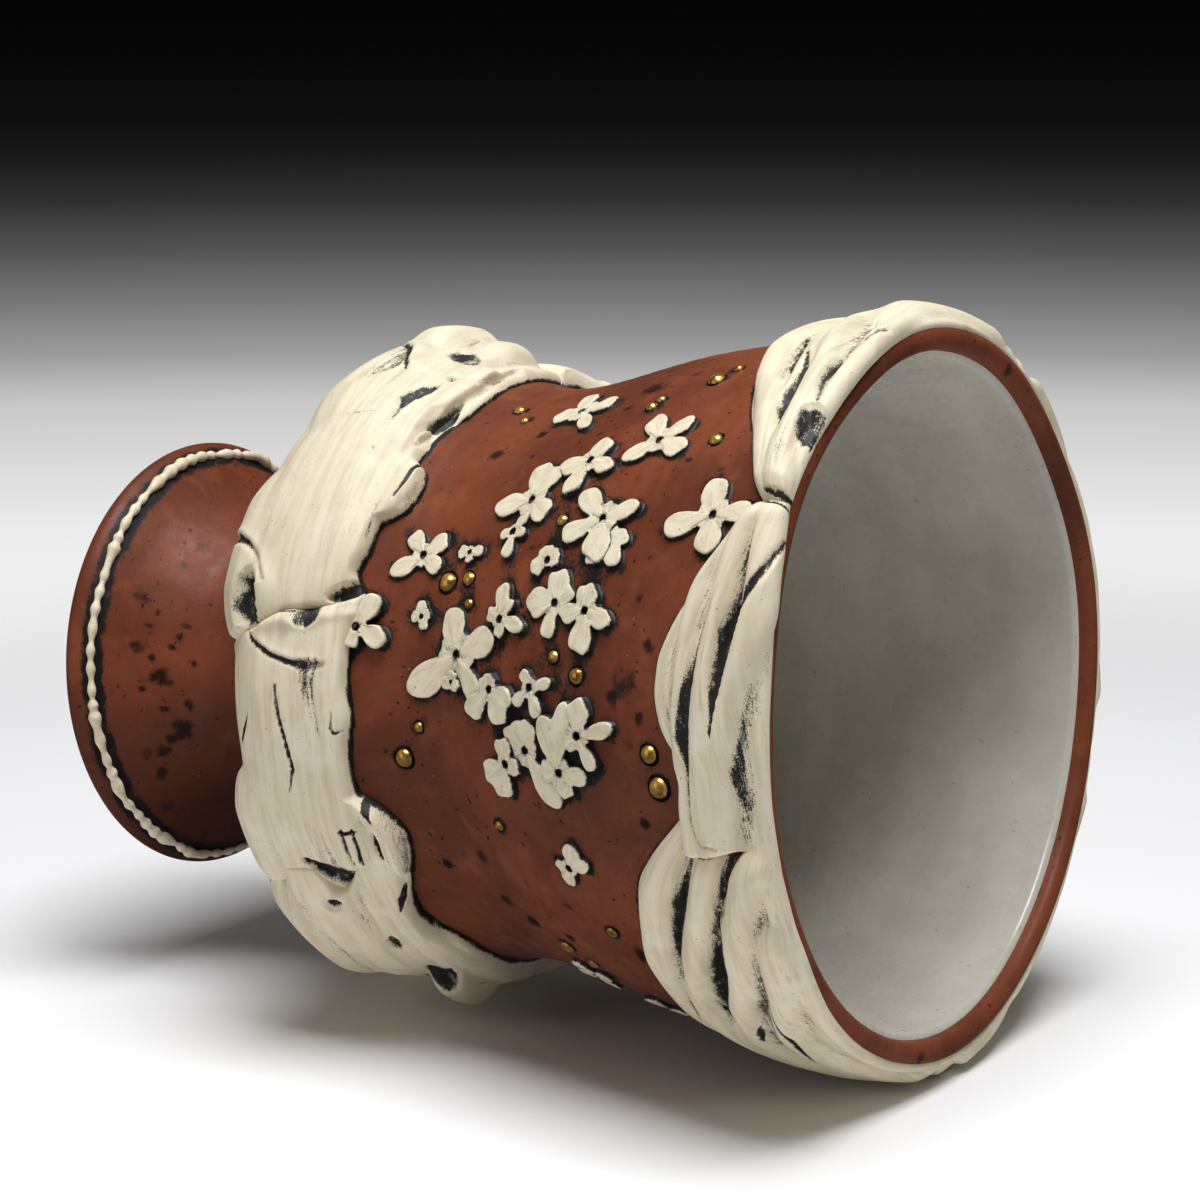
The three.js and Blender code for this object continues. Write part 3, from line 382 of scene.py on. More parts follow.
# Swags gathered from ribbons: `bottom` is the lower edge, and the upper one lies over the lip's crest.
RIM_SWAGS = [{
    "over_lip": [(-112, -0.6), (-70, -0.2), (-50, 0.1), (-26.4, -0.2)],
    "bottom": [(-112, 113), (-95, 109), (-80, 104.6), (-68, 102.6), (-60, 104), (-54.5, 105.3),
               (-49.5, 106.8), (-45, 108.4), (-40, 110.6), (-35, 112.6), (-30, 114.6), (-26.4, 116.8)],
    "folds": [
        ([(-112, 114), (-95, 110.6), (-80, 106.4), (-66, 105.4), (-55, 107.6), (-45, 111.4),
          (-36, 114.6), (-26.4, 118)], 1.9, 1.8),
        ([(-72, 108.6), (-62, 110.8), (-52, 112.6), (-44, 113.6)], 1, 1.5),
        ([(-112, 115.5), (-92, 112.6), (-76, 111.4), (-64, 113.2), (-52, 116), (-44, 117), (-36, 117.2),
          (-26.4, 118.8)], 1.8, 2.3),
        ([(-112, 118), (-90, 116.8), (-70, 118.4), (-56, 119.4), (-40, 119.8)], 1.6, 1.5),
        ([(-110, 116), (-92, 114.8), (-74, 114.4)], 4.4, 3),
    ],
    "hollows": [
        ([(-68, 107.6, 0.3, 1), (-61, 109.7, 0.7, 1), (-56, 110.8, 0.9, 1), (-54, 111, 0.2, 1)], 0.7),
        ([(-59, 111.7, 0.3, 1), (-54, 113.6, 0.7, 1), (-50, 114.9, 1.4, 1), (-46, 115.4, 2, 0.95),
          (-43, 115.5, 1.6, 1), (-40, 115.4, 0.3, 1)], 0.9),
        ([(-65, 119.2, -0.5, 0.7), (-62, 117.9, -1.3, 0.8), (-56, 117.1, -1.5, 0.85),
          (-49, 117.7, -1.2, 0.85), (-44, 118.9, -0.3, 0.7)], 0.7),
        ([(-38, 117.4, -0.6, 0.4), (-34, 117.6, -0.8, 0.5), (-31, 118.4, -0.3, 0.4)], 0.3),
        ([(-28, 117.6, 0.3, 1), (-27.6, 119.2, 0.5, 1), (-27.2, 120.4, 0.4, 1)], 0.5),
    ],
    "pits": [(-39.5, 119.4, 3.2, 1.2, 10, 0.6, 0.9)],
}, {
    "over_lip": [(-26.6, -0.3), (-15, 0.3), (0, 0.9), (30, 1.1)],
    "right": [(0, 23.5), (0.1, 26.2), (0.4, 25.3), (0.62, 24.3), (0.8, 27), (1, 30)],
    "bottom": [(-26.6, 116.8), (-24, 115.6), (-20, 113.6), (-16, 111.4), (-13, 109.6), (-10, 107.8),
               (-6, 106.4), (-2, 105.4), (2, 105.2), (6, 105.8), (9, 106.9), (12, 108.5), (15, 109.2),
               (19, 109), (30, 109)],
    "folds": [
        ([(-12.5, 109.3), (-6, 107.3), (0, 106.6), (6, 107), (11.5, 108.8)], 1.6, 0.5),
        ([(-26.6, 118), (-20, 114.8), (-14, 112), (-5, 110.6), (5, 110.2), (15, 110.6),
          (30, 110.4)], 1.7, 2.4),
        ([(-26.6, 119), (-20, 116.2), (-10, 114.8), (0, 113.8), (10, 113.4), (30, 113.2)], 1.8, 3),
        ([(-26.6, 119.6), (-12, 119.4), (0, 117.6), (10, 116.1), (18, 115.6), (30, 116)], 1.7, 2.8),
    ],
    "hollows": [
        ([(-20, 120.4, 0.25, 0.9), (-15, 119.7, 0.3, 1), (-11, 119, 0.6, 1), (-9.5, 118.7, 2, 1),
          (-6, 117.9, 2.2, 1), (-2, 116.6, 1.4, 1), (2, 115.8, 0.9, 1), (8, 115.1, 0.15, 1)], 0.9),
        ([(0, 119.2, -0.5, 0.5), (5, 118.6, -1, 0.6), (10, 117.6, -1.8, 0.8), (13, 117.2, -2.2, 0.8),
          (17, 117.7, -2, 0.8), (20, 118.4, -1, 0.6)], 0.3),
        # Painted shadow under an overhanging ribbon
        ([(-10, 114.4, 0.6, 0.45), (-7, 113.8, 1.5, 0.5), (-4, 113.1, 1.8, 0.55), (-1, 112.5, 1.4, 0.9),
          (2, 112.1, 1.3, 1), (5, 111.9, 1.5, 1), (8, 112, 1.7, 1), (11, 112, 0.9, 0.95),
          (14, 111.8, 0.4, 0.8), (20, 111.6, 0.35, 0.85), (21.6, 112, 0.35, 0.85),
          (22.6, 113.2, 0.3, 0.75), (23.1, 115, 0.2, 0.6)], 0.6),
        ([(-13, 110.3, 0.2, 0.9), (-10, 109.6, 0.3, 1), (-7, 109.2, 0.35, 1), (-3, 109.5, 0.4, 1),
          (1, 109.5, 0.4, 1), (5, 109, 0.35, 1), (9.6, 108.7, 0.2, 0.9)], 0.5),
        ([(-9, 109.2, 0.6, 0.35), (-2, 109.4, 1.6, 0.42), (6, 108.9, 1, 0.38)], 0.05),
        ([(-26.2, 117.4, 0.4, 1), (-25.6, 119, 0.4, 1), (-25, 120.4, 0.3, 1)], 0.4),
    ],
}, {
    "over_lip": [(20, 1.1), (40, 0.8), (60, -0.1), (97, -0.6)],
    "bottom": [(20, 108.7), (23, 106.4), (26, 104), (29, 101.8), (33, 99.6), (36, 98.7), (40, 97.9),
               (45, 96.9), (53, 96.1), (60, 96.3), (66, 97), (72, 99.5), (82, 105), (97, 112.5)],
    "folds": [
        ([(20, 109.3), (24, 107.2), (30, 104.6), (36, 102), (42, 100.6), (50, 99.2), (62, 99.2),
          (74, 103)], 2.4, 1.7),
        ([(24, 113), (30, 111), (36, 109), (42, 106.8), (50, 104.4), (60, 102.8), (75, 106.4),
          (97, 114)], 2, 2.6),
        ([(24, 118.4), (32, 116), (40, 113.4), (50, 111), (58, 108.4), (68, 107.2), (80, 110.3),
          (97, 116)], 2.2, 2.6),
        ([(36, 118.4), (52, 116), (64, 112.5), (78, 114), (97, 118)], 2.2, 2.1),
    ],
    "hollows": [
        ([(24.6, 117, 1.2, 1), (25.4, 116.4, 1.8, 1), (28, 115.2, 1.5, 0.85), (31, 113.8, 1.2, 0.75),
          (34, 112.3, 1, 0.75), (37, 111.3, 0.8, 0.8), (40, 111, 1, 0.9), (43, 111.1, 1.8, 1),
          (46, 110.8, 2.6, 1), (49, 109.8, 2.7, 1), (52, 108.5, 2.3, 1), (55, 107.3, 1.6, 1),
          (59, 105.6, 0.15, 1)], 0.9),
        ([(26.2, 109.6, -0.5, 1), (25.6, 112.5, -0.5, 1), (24.6, 116.6, -0.9, 1)], 0.3),
        ([(23.5, 109.6, 0.5, 0.7), (27, 109.3, 1.2, 0.75), (30, 108.5, 1.5, 0.75),
          (33, 107.6, 1.6, 0.95), (36, 106.7, 1.8, 1), (39, 105.6, 1.5, 1), (42, 104.5, 1.2, 1),
          (45, 103.3, 0.8, 1), (49, 102, 0.15, 1)], 0.7),
        ([(53, 113.8, 0.3, 0.9), (62, 113.9, 0.5, 1), (72, 113.5, 0.4, 0.9)], 0.4),
        ([(54.5, 113.4, 1.2, 0.5), (57.5, 113, 2.4, 0.65), (61, 112.6, 1.6, 0.5)], 0.2),
        ([(61, 109.7, 0.3, 1), (63, 109.5, 0.8, 1), (65.6, 108.6, 0.2, 1)], 0.5),
        ([(50, 116.1, 0.3, 0.6), (58, 116.1, 0.4, 0.7), (66, 115.7, 0.2, 0.6)], 0.15),
        ([(56, 101, 0.2, 0.8), (61, 100.4, 0.3, 0.9), (66, 99.4, 0.2, 0.8)], 0.3),
    ],
}, {
    "over_lip": [(96, -0.6), (135, -0.1), (173, -0.5)],
    "bottom": [(96, 113.5), (106, 110), (116, 106.6), (126, 104.6), (134, 104.2), (142, 105.4),
               (152, 108), (162, 110.8), (173, 113)],
    "folds": [
        ([(96, 114.6), (106, 111.4), (116, 108.2), (128, 106), (140, 106.6), (152, 109.6),
          (173, 114)], 1.9, 1.7),
        ([(96, 116.2), (106, 114), (118, 111.2), (130, 109.4), (142, 110), (154, 112.6),
          (173, 115.6)], 1.7, 2.3),
        ([(96, 117.8), (110, 116.4), (122, 114.6), (134, 112.8), (146, 113.6), (158, 115.6),
          (173, 117.2)], 1.7, 2.3),
        ([(102, 119), (118, 118.2), (132, 116.8), (148, 117.2), (166, 118.8)], 1.6, 1.8),
    ],
    "hollows": [
        ([(104, 113.2, 0.2, 0.8), (112, 110.9, 1, 1), (119, 109.2, 1.6, 1), (126, 108.2, 1.3, 1),
          (134, 107.9, 0.2, 0.9)], 0.8),
        ([(126, 112.3, 0.3, 0.9), (134, 111.2, 1.3, 1), (142, 111.6, 1.8, 1), (149, 112.9, 1, 1),
          (156, 114.6, 0.2, 0.9)], 0.8),
        ([(108, 117.4, 0.3, 0.6), (120, 116.6, 1.4, 0.75), (132, 115, 0.4, 0.6)], 0.4),
        ([(146, 108.6, 0.2, 0.9), (152, 110.4, 0.5, 1), (160, 112.6, 0.2, 0.9)], 0.4),
    ],
}]

# A low band along the lip's crest under every swag
LIP_BAND_LEVEL = LIP_LEVEL - LIP_ROUND / 2
LIP_BAND_HALF = 1.6
LIP_BAND_HEIGHT = 0.35

# The last sheet and swag mirror their neighbours; the sheet starts pressed down under its neighbour's end
SHEET_MIRROR = 182
SWAG_MIRROR = 172.5
LAST_SHEET_START = [(0, 178), (0.4, 179.5), (0.7, 178.5), (1, 179)]
LAST_SHEET_PRESS = ([(170, 46), (200, 46)], 16, -1.1)


# Petals of an even four-petal sprig: (direction, length, half width)
def four(angle, height, length, turn):
    petals = [(turn + FULL_TURN * k / PETALS, length, length * PETAL_SLENDERNESS) for k in range(PETALS)]
    return (angle, height, 0, petals)


# Sprigs, in pressed clusters: each has its angle, its height, how far it is raised, and its petals
SPRIGS = [
    [(-20.7, 64.8, 0, [(129, 4.1, 1.4), (59, 3.6, 1.3), (222, 3.9, 1.3), (305, 4.6, 1.4)])],
    [(-21.2, 72.3, 0, [(95, 2.2, 0.9), (265, 2, 1), (10, 1.5, 0.7)])],
    [(-54.5, 79, 0, [(92, 5.4, 1.6), (37, 6.2, 1.2), (197, 5.2, 1.6), (273, 4.6, 1.8)])],
    [
        (-37, 87.9, 0.3, [(161, 3.7, 1.8), (67, 4.4, 1.4), (341, 5.3, 1.5), (278, 4.6, 1.7)]),
        (-30.7, 80.2, 0, [(190, 6.1, 1.7), (54, 4.8, 1.7), (274, 5.9, 1.9), (148, 5.6, 1.6)]),
        (-24.3, 79.1, 0.2, [(0, 3.5, 1), (145, 2.8, 0.9), (280, 2.1, 0.9), (80, 2.4, 0.8)]),
    ],
    [
        (-24.8, 93.8, 0.3, [(108, 5.1, 1.4), (2, 5.4, 2.2), (227, 6.1, 1.7), (291, 6.2, 1.5)]),
        (-22.5, 94.5, 0, [(35, 5.4, 1.3), (75, 4, 1.2), (345, 4.2, 1.2)]),
    ],
    [(-40.2, 97.1, 0, [(65, 5, 1.6), (304, 4.9, 1.6), (214, 5.4, 1.6), (134, 5, 1.5)])],
    [(-24.8, 110, 0, [(95, 5.6, 1.5), (195, 5.2, 2.1), (3, 4.9, 2), (283, 6.9, 1.7)])],
    [(-8.8, 66.6, 0, [(190, 2, 0.9), (25, 1.8, 0.8), (270, 1.7, 0.8), (110, 1.4, 0.8)])],
    [
        (-2.1, 73.1, 0, [(111, 6.9, 2), (196, 5.8, 2), (304, 8.7, 2.3), (38, 7.6, 1.6)]),
        (3.6, 79.5, 0.3, [(180, 1.9, 1.3), (67, 4, 1.7), (27, 4.6, 1.6), (310, 5, 1.6), (240, 2, 1.3)]),
        (2.8, 72.9, 0.5, [(60, 1.5, 0.9), (170, 1.4, 0.9), (280, 1.6, 0.9)]),
    ],
    [(-8.4, 80.4, 0.3, [(76, 4, 1.1), (184, 4.3, 1.2), (249, 2.6, 1.1), (7, 2.4, 1), (144, 3, 0.9)])],
    [(2.7, 86.4, 0.2, [(103, 3.5, 0.8), (23, 3.8, 1.1), (211, 2.4, 0.9), (309, 3.5, 0.9)])],
    [
        (-18.3, 86.5, 0, [(90, 2, 1.2), (150, 1.8, 1), (215, 2.2, 1.2), (296, 2.8, 1.4)]),
        (-11, 89.1, 0, [(349, 4.3, 1.2), (268, 4.6, 2.1), (180, 4.3, 1.8), (120, 3, 1.3)]),
        (-9.7, 94.2, 0.3, [(69, 4.1, 1.4), (358, 5.1, 1.8), (180, 3.3, 1.8), (277, 3.9, 1.4)]),
    ],
    [
        (13.1, 85.2, 0, [(172, 3.8, 1.7), (36, 7.6, 1.8), (225, 4, 1.8)]),
        (15.9, 90.7, 0.2, [(85, 4.2, 1.3), (21, 3.4, 1.3), (169, 8.8, 1.4), (195, 6.7, 2), (270, 3, 1.5)]),
        (15.9, 81.9, 0.4, [(345, 4.6, 1.5), (297, 4.4, 1.7), (183, 3.2, 1.5), (80, 2.4, 1.3)]),
        (9.6, 94.1, 0.4, [(103, 5.4, 1.1), (30, 4.8, 1.1), (175, 4.4, 1.8), (300, 2.4, 1.4)]),
    ],
    [(33.1, 89.2, 0, [(111, 3.3, 1.3), (162, 3.7, 1.3), (270, 2.2, 1), (339, 2.8, 1.1)])],
    [(-6, 57.8, 1, [(150, 4.6, 1.5), (70, 4.6, 1.5), (215, 2.2, 1.3), (335, 2.8, 1.4)])],
    [four(68, 80.8, 3.8, 30)],
    [four(75, 89.2, 3.6, 10)],
    [four(146, 83.6, 3.8, 15), four(151.5, 88.6, 3.6, 40), four(153.5, 82.6, 3.4, 0)],
    [four(188, 94.1, 4.2, 30), four(194, 98.5, 3.8, 5)],
    [four(172, 78.7, 3.8, 20)],
    [four(205, 85.3, 4, 50)],
    [four(222, 76.5, 3.4, 10)],
    [four(232, 97.4, 4.2, 35)],
    [four(118, 90.8, 3.8, 25)],
    [four(132, 73.2, 3, 5)],
]

# Gold dots: angle, share of the red field, share of the radius; then the specks too small to be parts
GOLD_DOTS = [
    (-15.6, 0.073, 1.1), (-16.2, 0.135, 0.8), (18, -0.029, 1.1), (-2.4, 0.438, 0.7), (0.4, 0.507, 0.9),
    (11.5, 0.705, 1), (16.5, 0.725, 1.2), (-61.7, 0.007, 0.8), (-25.7, 0.385, 0.7), (-50.5, 0.475, 0.7),
    (-57, 0.602, 1), (-39.6, 0.727, 0.8), (46.2, 0.48, 0.7), (57.3, 0.273, 0.9), (60.9, 0.324, 0.7),
    (164, 0.12, 1.1), (180, 0.38, 0.9), (212, 0.62, 1), (140, 0.58, 0.9), (240, 0.36, 1),
]
GOLD_SPECKS = [
    (-11.4, 0.15, 0.6), (11.8, 0.02, 0.6), (28.8, 0.225, 0.6), (-56.9, 0.055, 0.5), (-52.6, 0.485, 0.6),
    (-60.8, 0.631, 0.6),
]

# Dark iron spots in the clay: angle, height, half width, half height
WALL_SPOTS = [
    (-33.3, 108.4, 0.4, 0.8), (-35.6, 102.9, 0.4, 0.5), (-58, 88.8, 1.2, 1.5), (-51.6, 87.2, 0.5, 0.8),
    (-45.5, 68.6, 1, 0.9), (-50, 74, 0.7, 0.9), (-43, 75.2, 0.5, 0.6), (-22, 86, 0.5, 0.6),
    (-21, 83, 0.5, 0.5), (1.4, 100.6, 1.5, 1.4), (3.6, 99, 1, 0.8), (-4.4, 103.8, 0.9, 0.7),
    (6.5, 103, 0.8, 0.6), (51, 95, 1.3, 0.9), (52.4, 76.4, 1.1, 1), (47.8, 73.6, 0.9, 0.9),
    (37.8, 82, 0.35, 0.35), (53, 82.8, 0.8, 0.8), (43, 86, 0.5, 0.5), (41, 66, 1, 0.6),
    (-12, 101.4, 0.6, 0.5), (22.6, 102.5, 0.6, 0.7),
]
FOOT_SPOTS = [
    (10.5, 11, 1, 1.3), (-17, 8, 0.8, 0.8), (0, 8.7, 0.9, 0.8), (32, 12.2, 1.3, 1.2),
    (21.5, 13.8, 0.8, 0.7), (-5, 12.8, 0.5, 0.5), (-10, 13.4, 0.45, 0.7), (-23, 9.3, 0.35, 0.3),
    (-8, 9.6, 0.35, 0.4), (-13, 10.1, 0.35, 0.35), (3, 9.9, 0.5, 0.4), (38, 9.6, 0.9, 0.7),
    (46, 8.4, 0.9, 0.6), (59, 7.2, 0.8, 0.5), (5, 15, 0.4, 0.5), (-1, 12.2, 0.4, 0.4),
    (22, 11, 0.5, 0.5), (30, 13.3, 0.8, 0.6), (34, 10.6, 0.8, 0.6), (14, 9, 0.4, 0.4),
]

# The foot's painted shade, on its side that faces the table when the cup lies on its right side:
# where it starts and ends, how soft and how dark it is, and the angle behind it
FOOT_SHADE_START = 5
FOOT_SHADE_END = 190
FOOT_SHADE_SOFT = 65
FOOT_SHADE_MOST = 0.85
FOOT_SHADE_BACK = -90

# How far a spot goes past its half size, and its soft edge
SPOT_EDGE = 1.7
SPOT_SOFT = 1.2

# Camera of the photograph, which shows the cup lying on its right side
CAMERA_AT = (0, -364.3, 302.85)
CAMERA_TARGET = (-9.97, 0, 68.1)
CAMERA_UP = (-0.998, -0.051, -0.0367)
CAMERA_LENS = 97.5
CAMERA_SENSOR = 36

# The table that the lying cup rests on, at its lip and belly
TABLE_PITCH = 10.3
TABLE_CONTACT = (48, 9.9, 112)
TABLE_RADIUS = 430
TABLE_FADE = 0.45
TABLE_RINGS = 40
TABLE_SIDES = 96
TABLE_HOLE = 0.005

# Area lamps: name, direction, distance, size, power and colour; they point at a share of the cup's height
LAMPS = [
    ("key", (-0.9, -0.35, 0.2), 700, 420, 6.4, (1, 1, 1.02)),
    ("fill", (-0.1, -0.85, -0.45), 900, 600, 0.75, (1, 0.97, 0.9)),
]
LAMP_TARGET = 0.6

# The backdrop, with the light's fall-off painted on it: (level, tone) stops up from the table, its tilt, and
# the angles between which it fades out
BACKDROP = [(-0.19, 0.93), (-0.1545, 0.83), (-0.118, 0.578), (-0.103, 0.33), (-0.0877, 0.19), (-0.072, 0.085),
            (-0.0572, 0.03), (-0.045, 0.011), (-0.033, 0.0045), (-0.005, 0.0015)]
BACKDROP_TILT = 7
BACKDROP_WIDE = (13, 18)


def rgb(red, green, blue):
    return (red, green, blue, 1.0)


# Colours
RED = rgb(0.205, 0.051, 0.02)
RED_DARK = rgb(0.125, 0.03, 0.012)
RED_WARM = rgb(0.26, 0.07, 0.027)
# Painted shade for the foot's side that faces the table
RED_PAINTED_SHADE = rgb(0.036, 0.009, 0.004)
IRON = rgb(0.01, 0.004, 0.003)
# Black for the wash, and for painted shade in the drapery's hollows and down the sprigs' sides
BLACK_WASH_AND_SHADE = rgb(0.012, 0.011, 0.01)
CREAM = rgb(0.8, 0.715, 0.52)
CREAM_SHADE = rgb(0.66, 0.575, 0.41)
CREAM_LIGHT = rgb(0.87, 0.805, 0.65)
GLAZE = rgb(0.62, 0.588, 0.51)
GLAZE_SHADE = rgb(0.52, 0.492, 0.425)
GOLD = rgb(0.95, 0.56, 0.15)
GOLD_DARK = rgb(0.5, 0.24, 0.05)
TABLE_WHITE = rgb(0.9, 0.9, 0.9)
WORLD_GREY = rgb(0.073, 0.074, 0.075)

# Patterns in the materials: scale, detail and roughness of a noise, then which of its values are spread out,
# and from what to what
PATTERNS = {
    "red_tone": (55, 4, 0.55, 0.35, 0.65, 0, 1),
    "red_warm": (260, 3, 0.55, 0.5, 0.75, 0, 0.5),
    "red_dust": (3400, 2, 0.6, 0.56, 0.7, 0, 0.4),
    "red_shine": (400, 4, 0.55, 0.3, 0.7, 0.42, 0.58),
    "iron_specks": (1100, 2, 0.4, 0.68, 0.74, 0, 0.8),
    "iron_places": (60, 2, 0.55, 0.54, 0.64, 0, 0.7),
    "iron_frayed": (620, 3, 0.55, 0.35, 0.65, -0.3, 0.3),
    "pale_specks": (2300, 2, 0.4, 0.76, 0.8, 0, 0.4),
    "wash_patches": (330, 3, 0.55, 0.35, 0.65, 0.6, 1.35),
    "brushed": (1.7, 5, 0.65, 0.56, 0.74, 0, 0.3),
    "brushed_places": (120, 2, 0.55, 0.4, 0.6, 0, 1),
    "cream_light": (180, 3, 0.55, 0.45, 0.75, 0, 0.6),
    "cream_veins": (1000, 3, 0.55, 0.36, 0.62, 0.8, 1.1),
    "cream_flecks": (2600, 2, 0.4, 0.73, 0.79, 0, 0.7),
    "cream_shine": (500, 3, 0.55, 0.3, 0.7, 0.5, 0.66),
    "glaze_tone": (70, 4, 0.55, 0.3, 0.7, 0, 1),
    "glaze_flecks": (1300, 2, 0.4, 0.72, 0.78, 0, 0.5),
    "glaze_shine": (300, 3, 0.55, 0.3, 0.7, 0.22, 0.34),
}

# Plain noises: scale, detail and roughness
NOISES = {
    "red_fine": (1500, 4, 0.55),
    "red_grain": (2600, 2, 0.55),
    "streaks": (1, 4, 0.6),
    "streak_grain": (2.2, 4, 0.7),
    "cream_grain": (5200, 3, 0.7),
    "cream_relief": (1700, 3, 0.55),
    "glaze_relief": (240, 3, 0.55),
    "gold_worn": (900, 3, 0.55),
    "gold_relief": (1500, 2, 0.55),
}

# Other values that are spread out: between the first two, from the third to the fourth
SPREADS = {
    "iron_cells": (0.24, 0.38, 1, 0),
    "iron_spots": (0.2, 1, 0, 0.92),
    "wash_and_shade": (0.28, 0.72, 0, 1),
    "streaks": (0.3, 0.62, 0, 1),
    "gold_worn": (0.35, 0.6, 0, 1),
    "gold_shine": (0.3, 0.7, 0.24, 0.4),
}

# How grain breaks up the wash and painted shade, the iron's cells, and how the clay and the gold shine
GRAIN_RANGE = (0.34, 0.66)
WALL_GRAIN = 0.12
IRON_CELLS = 230
IRON_CELL_FRAY = 0.2
STREAKS_IN_GRAIN = 0.45
RED_SPECULAR = 0.22
GOLD_METALLIC = 0.85

# Relief in the materials: depth and strength
RED_BUMP = (0.06, 0.6)
CREAM_BUMP = (0.07, 0.6)
GLAZE_BUMP = (0.08, 0.4)
GOLD_BUMP = (0.02, 0.4)

# Porcelains: how the streaks are stretched along the flow, and how rubbed the wash and painted shade are
PORCELAINS = {
    "porcelain": ((0.09, 0.9, 1), 0.34),
    "sprig_porcelain": ((0.35, 1.6, 1), 0.22),
    "slip_line": ((0.6, 0.6, 0.6), 0.2),
}

rng = np.random.default_rng(SEED)


# The same drapery in a mirror that stands at an angle
def mirrored(piece, axis):
    def flip(points):
        return [(2 * axis - point[0], *point[1:]) for point in reversed(points)]

    other = {key: flip(piece[key]) for key in ("top", "over_lip", "bottom") if key in piece}
    for end, opposite in (("left", "right"), ("right", "left")):
        if opposite in piece:
            other[end] = [(share, 2 * axis - at) for share, at in piece[opposite]]
    other["folds"] = [(flip(points), half, rise) for points, half, rise in piece["folds"]]
    other["hollows"] = [(flip(points), depth) for points, depth in piece["hollows"]]
    other["pits"] = [(2 * axis - at, level, wide, tall, -turn, depth, black)
                     for at, level, wide, tall, turn, depth, black in piece.get("pits", [])]
    return other


last_sheet = mirrored(BELLY_SHEETS[-1], SHEET_MIRROR)
last_sheet["left"] = LAST_SHEET_START
last_sheet["folds"].append(LAST_SHEET_PRESS)
BELLY_SHEETS.append(last_sheet)
RIM_SWAGS.append(mirrored(RIM_SWAGS[-1], SWAG_MIRROR))


# An angle as its equal in the turn that begins at the start
def wrapped(angle, start=-FULL_TURN / 2, turn=FULL_TURN):
    return (angle - start) % turn + start


# Directions evenly round a full turn, in radians if nothing else is said
def all_round(count, start=0, turn=2 * math.pi):
    return np.linspace(start, start + turn, count, endpoint=False)


# A value limited to the range from 0 to 1
def unit(value):
    return np.clip(value, 0, 1)


def eased(t):
    return t * t * (3 - 2 * t)


# Smooth curve through (x, y) points: level at turning points, else the harmonic mean of the spans' slopes
def curve_through(points, level_start=False):
    x, y = np.array(points, dtype=float).T
    span = np.diff(y) / np.diff(x)
    slope = np.zeros(len(x))
    slope[0] = 0 if level_start else span[0]
    slope[-1] = span[-1]
    for k in range(1, len(x) - 1):
        before, after = span[k - 1], span[k]
        slope[k] = 0 if before * after <= 0 else 2 * before * after / (before + after)

    def at(value):
        value = np.clip(value, x[0], x[-1])
        k = np.clip(np.searchsorted(x, value) - 1, 0, len(x) - 2)
        run = x[k + 1] - x[k]
        t = (value - x[k]) / run
        leave = t * (1 - t) ** 2 * run * slope[k]
        arrive = t * t * (t - 1) * run * slope[k + 1]
        return y[k] + (y[k + 1] - y[k]) * eased(t) + leave + arrive

    return at


upper_points = [
    (BELLY_LEVEL, BELLY_RADIUS),
    (WAIST_LEVEL, WAIST_RADIUS),
    (FLARE_LEVEL, FLARE_RADIUS),
    (LIP_LEVEL, LIP_RADIUS),
]
upper_wall = curve_through(upper_points, level_start=True)


# Outer radius of the bowl at a height
def wall_radius(height):
    height = np.asarray(height, dtype=float)
    fall = unit((BELLY_LEVEL - height) / (BELLY_LEVEL - FOOT_HEIGHT))
    under = NECK_RADIUS + (BELLY_RADIUS - NECK_RADIUS) * (1 - fall**UNDERSIDE_FALL) ** UNDERSIDE_LEAN
    return np.where(height <= BELLY_LEVEL, under, upper_wall(height))


# Radius and height of a point that stands out from the wall along its normal. Heights above the lip's
# shoulder run on round its crest.
def section_point(height, stand):
    height = np.asarray(height, dtype=float)
    level = np.minimum(height, LIP_SHOULDER)
    slope = (wall_radius(level + SLOPE_STEP) - wall_radius(level - SLOPE_STEP)) / (2 * SLOPE_STEP)
    lean = -np.arctan(slope)
    swing = lean + (height - level) / LIP_ROUND
    centre_radius = wall_radius(level) - LIP_ROUND * np.cos(lean)
    centre_height = level - LIP_ROUND * np.sin(lean)
    reach = LIP_ROUND + stand
    return centre_radius + reach * np.cos(swing), centre_height + reach * np.sin(swing)


# The lip's slow rise and fall, which dies away down to the flare
def lip_rise(angle, height):
    share = unit((height - FLARE_LEVEL) / (LIP_LEVEL - FLARE_LEVEL)) ** 2
    swing = np.radians(angle)
    waves = sum(size * np.sin(count * swing + start) for size, count, start in LIP_WAVES)
    return LIP_WAVE * share * (waves - LIP_DROP)


# Slow unevenness of the thrown wall, the same for every piece that sits on it
def wall_wave(angle, height):
    swing = np.radians(angle)
    climb = height / CUP_HEIGHT
    waves, most = 0, 0
    for size, count, start, twist in WALL_WAVES:
        waves = waves + size * np.sin(count * swing + start + twist * climb)
        most += size
    return WALL_WAVE * waves * climb / most


def throwing_lines(angle, height, depth, pitch):
    return depth * np.sin(2 * math.pi * height / pitch + np.radians(angle))


def around(angle, radius, height):
    swing = np.radians(angle)
    return np.stack([radius * np.sin(swing), -radius * np.cos(swing), height + 0 * swing], axis=-1)


def on_wall(angle, height, stand):
    radius, level = section_point(height, stand + wall_wave(angle, height))
    return around(angle, radius, level + lip_rise(angle, height))


# Height of a share of the red field, between the waist and the lip
def field_level(share):
    return WAIST_LEVEL + share * (LIP_LEVEL - WAIST_LEVEL)


# Grids of angle, radius and height for a section that is turned about the axis
def turned(angles, radius, height):
    angle, radius = np.meshgrid(angles, radius)
    return angle, radius, np.repeat(height[:, None], len(angles), axis=1)


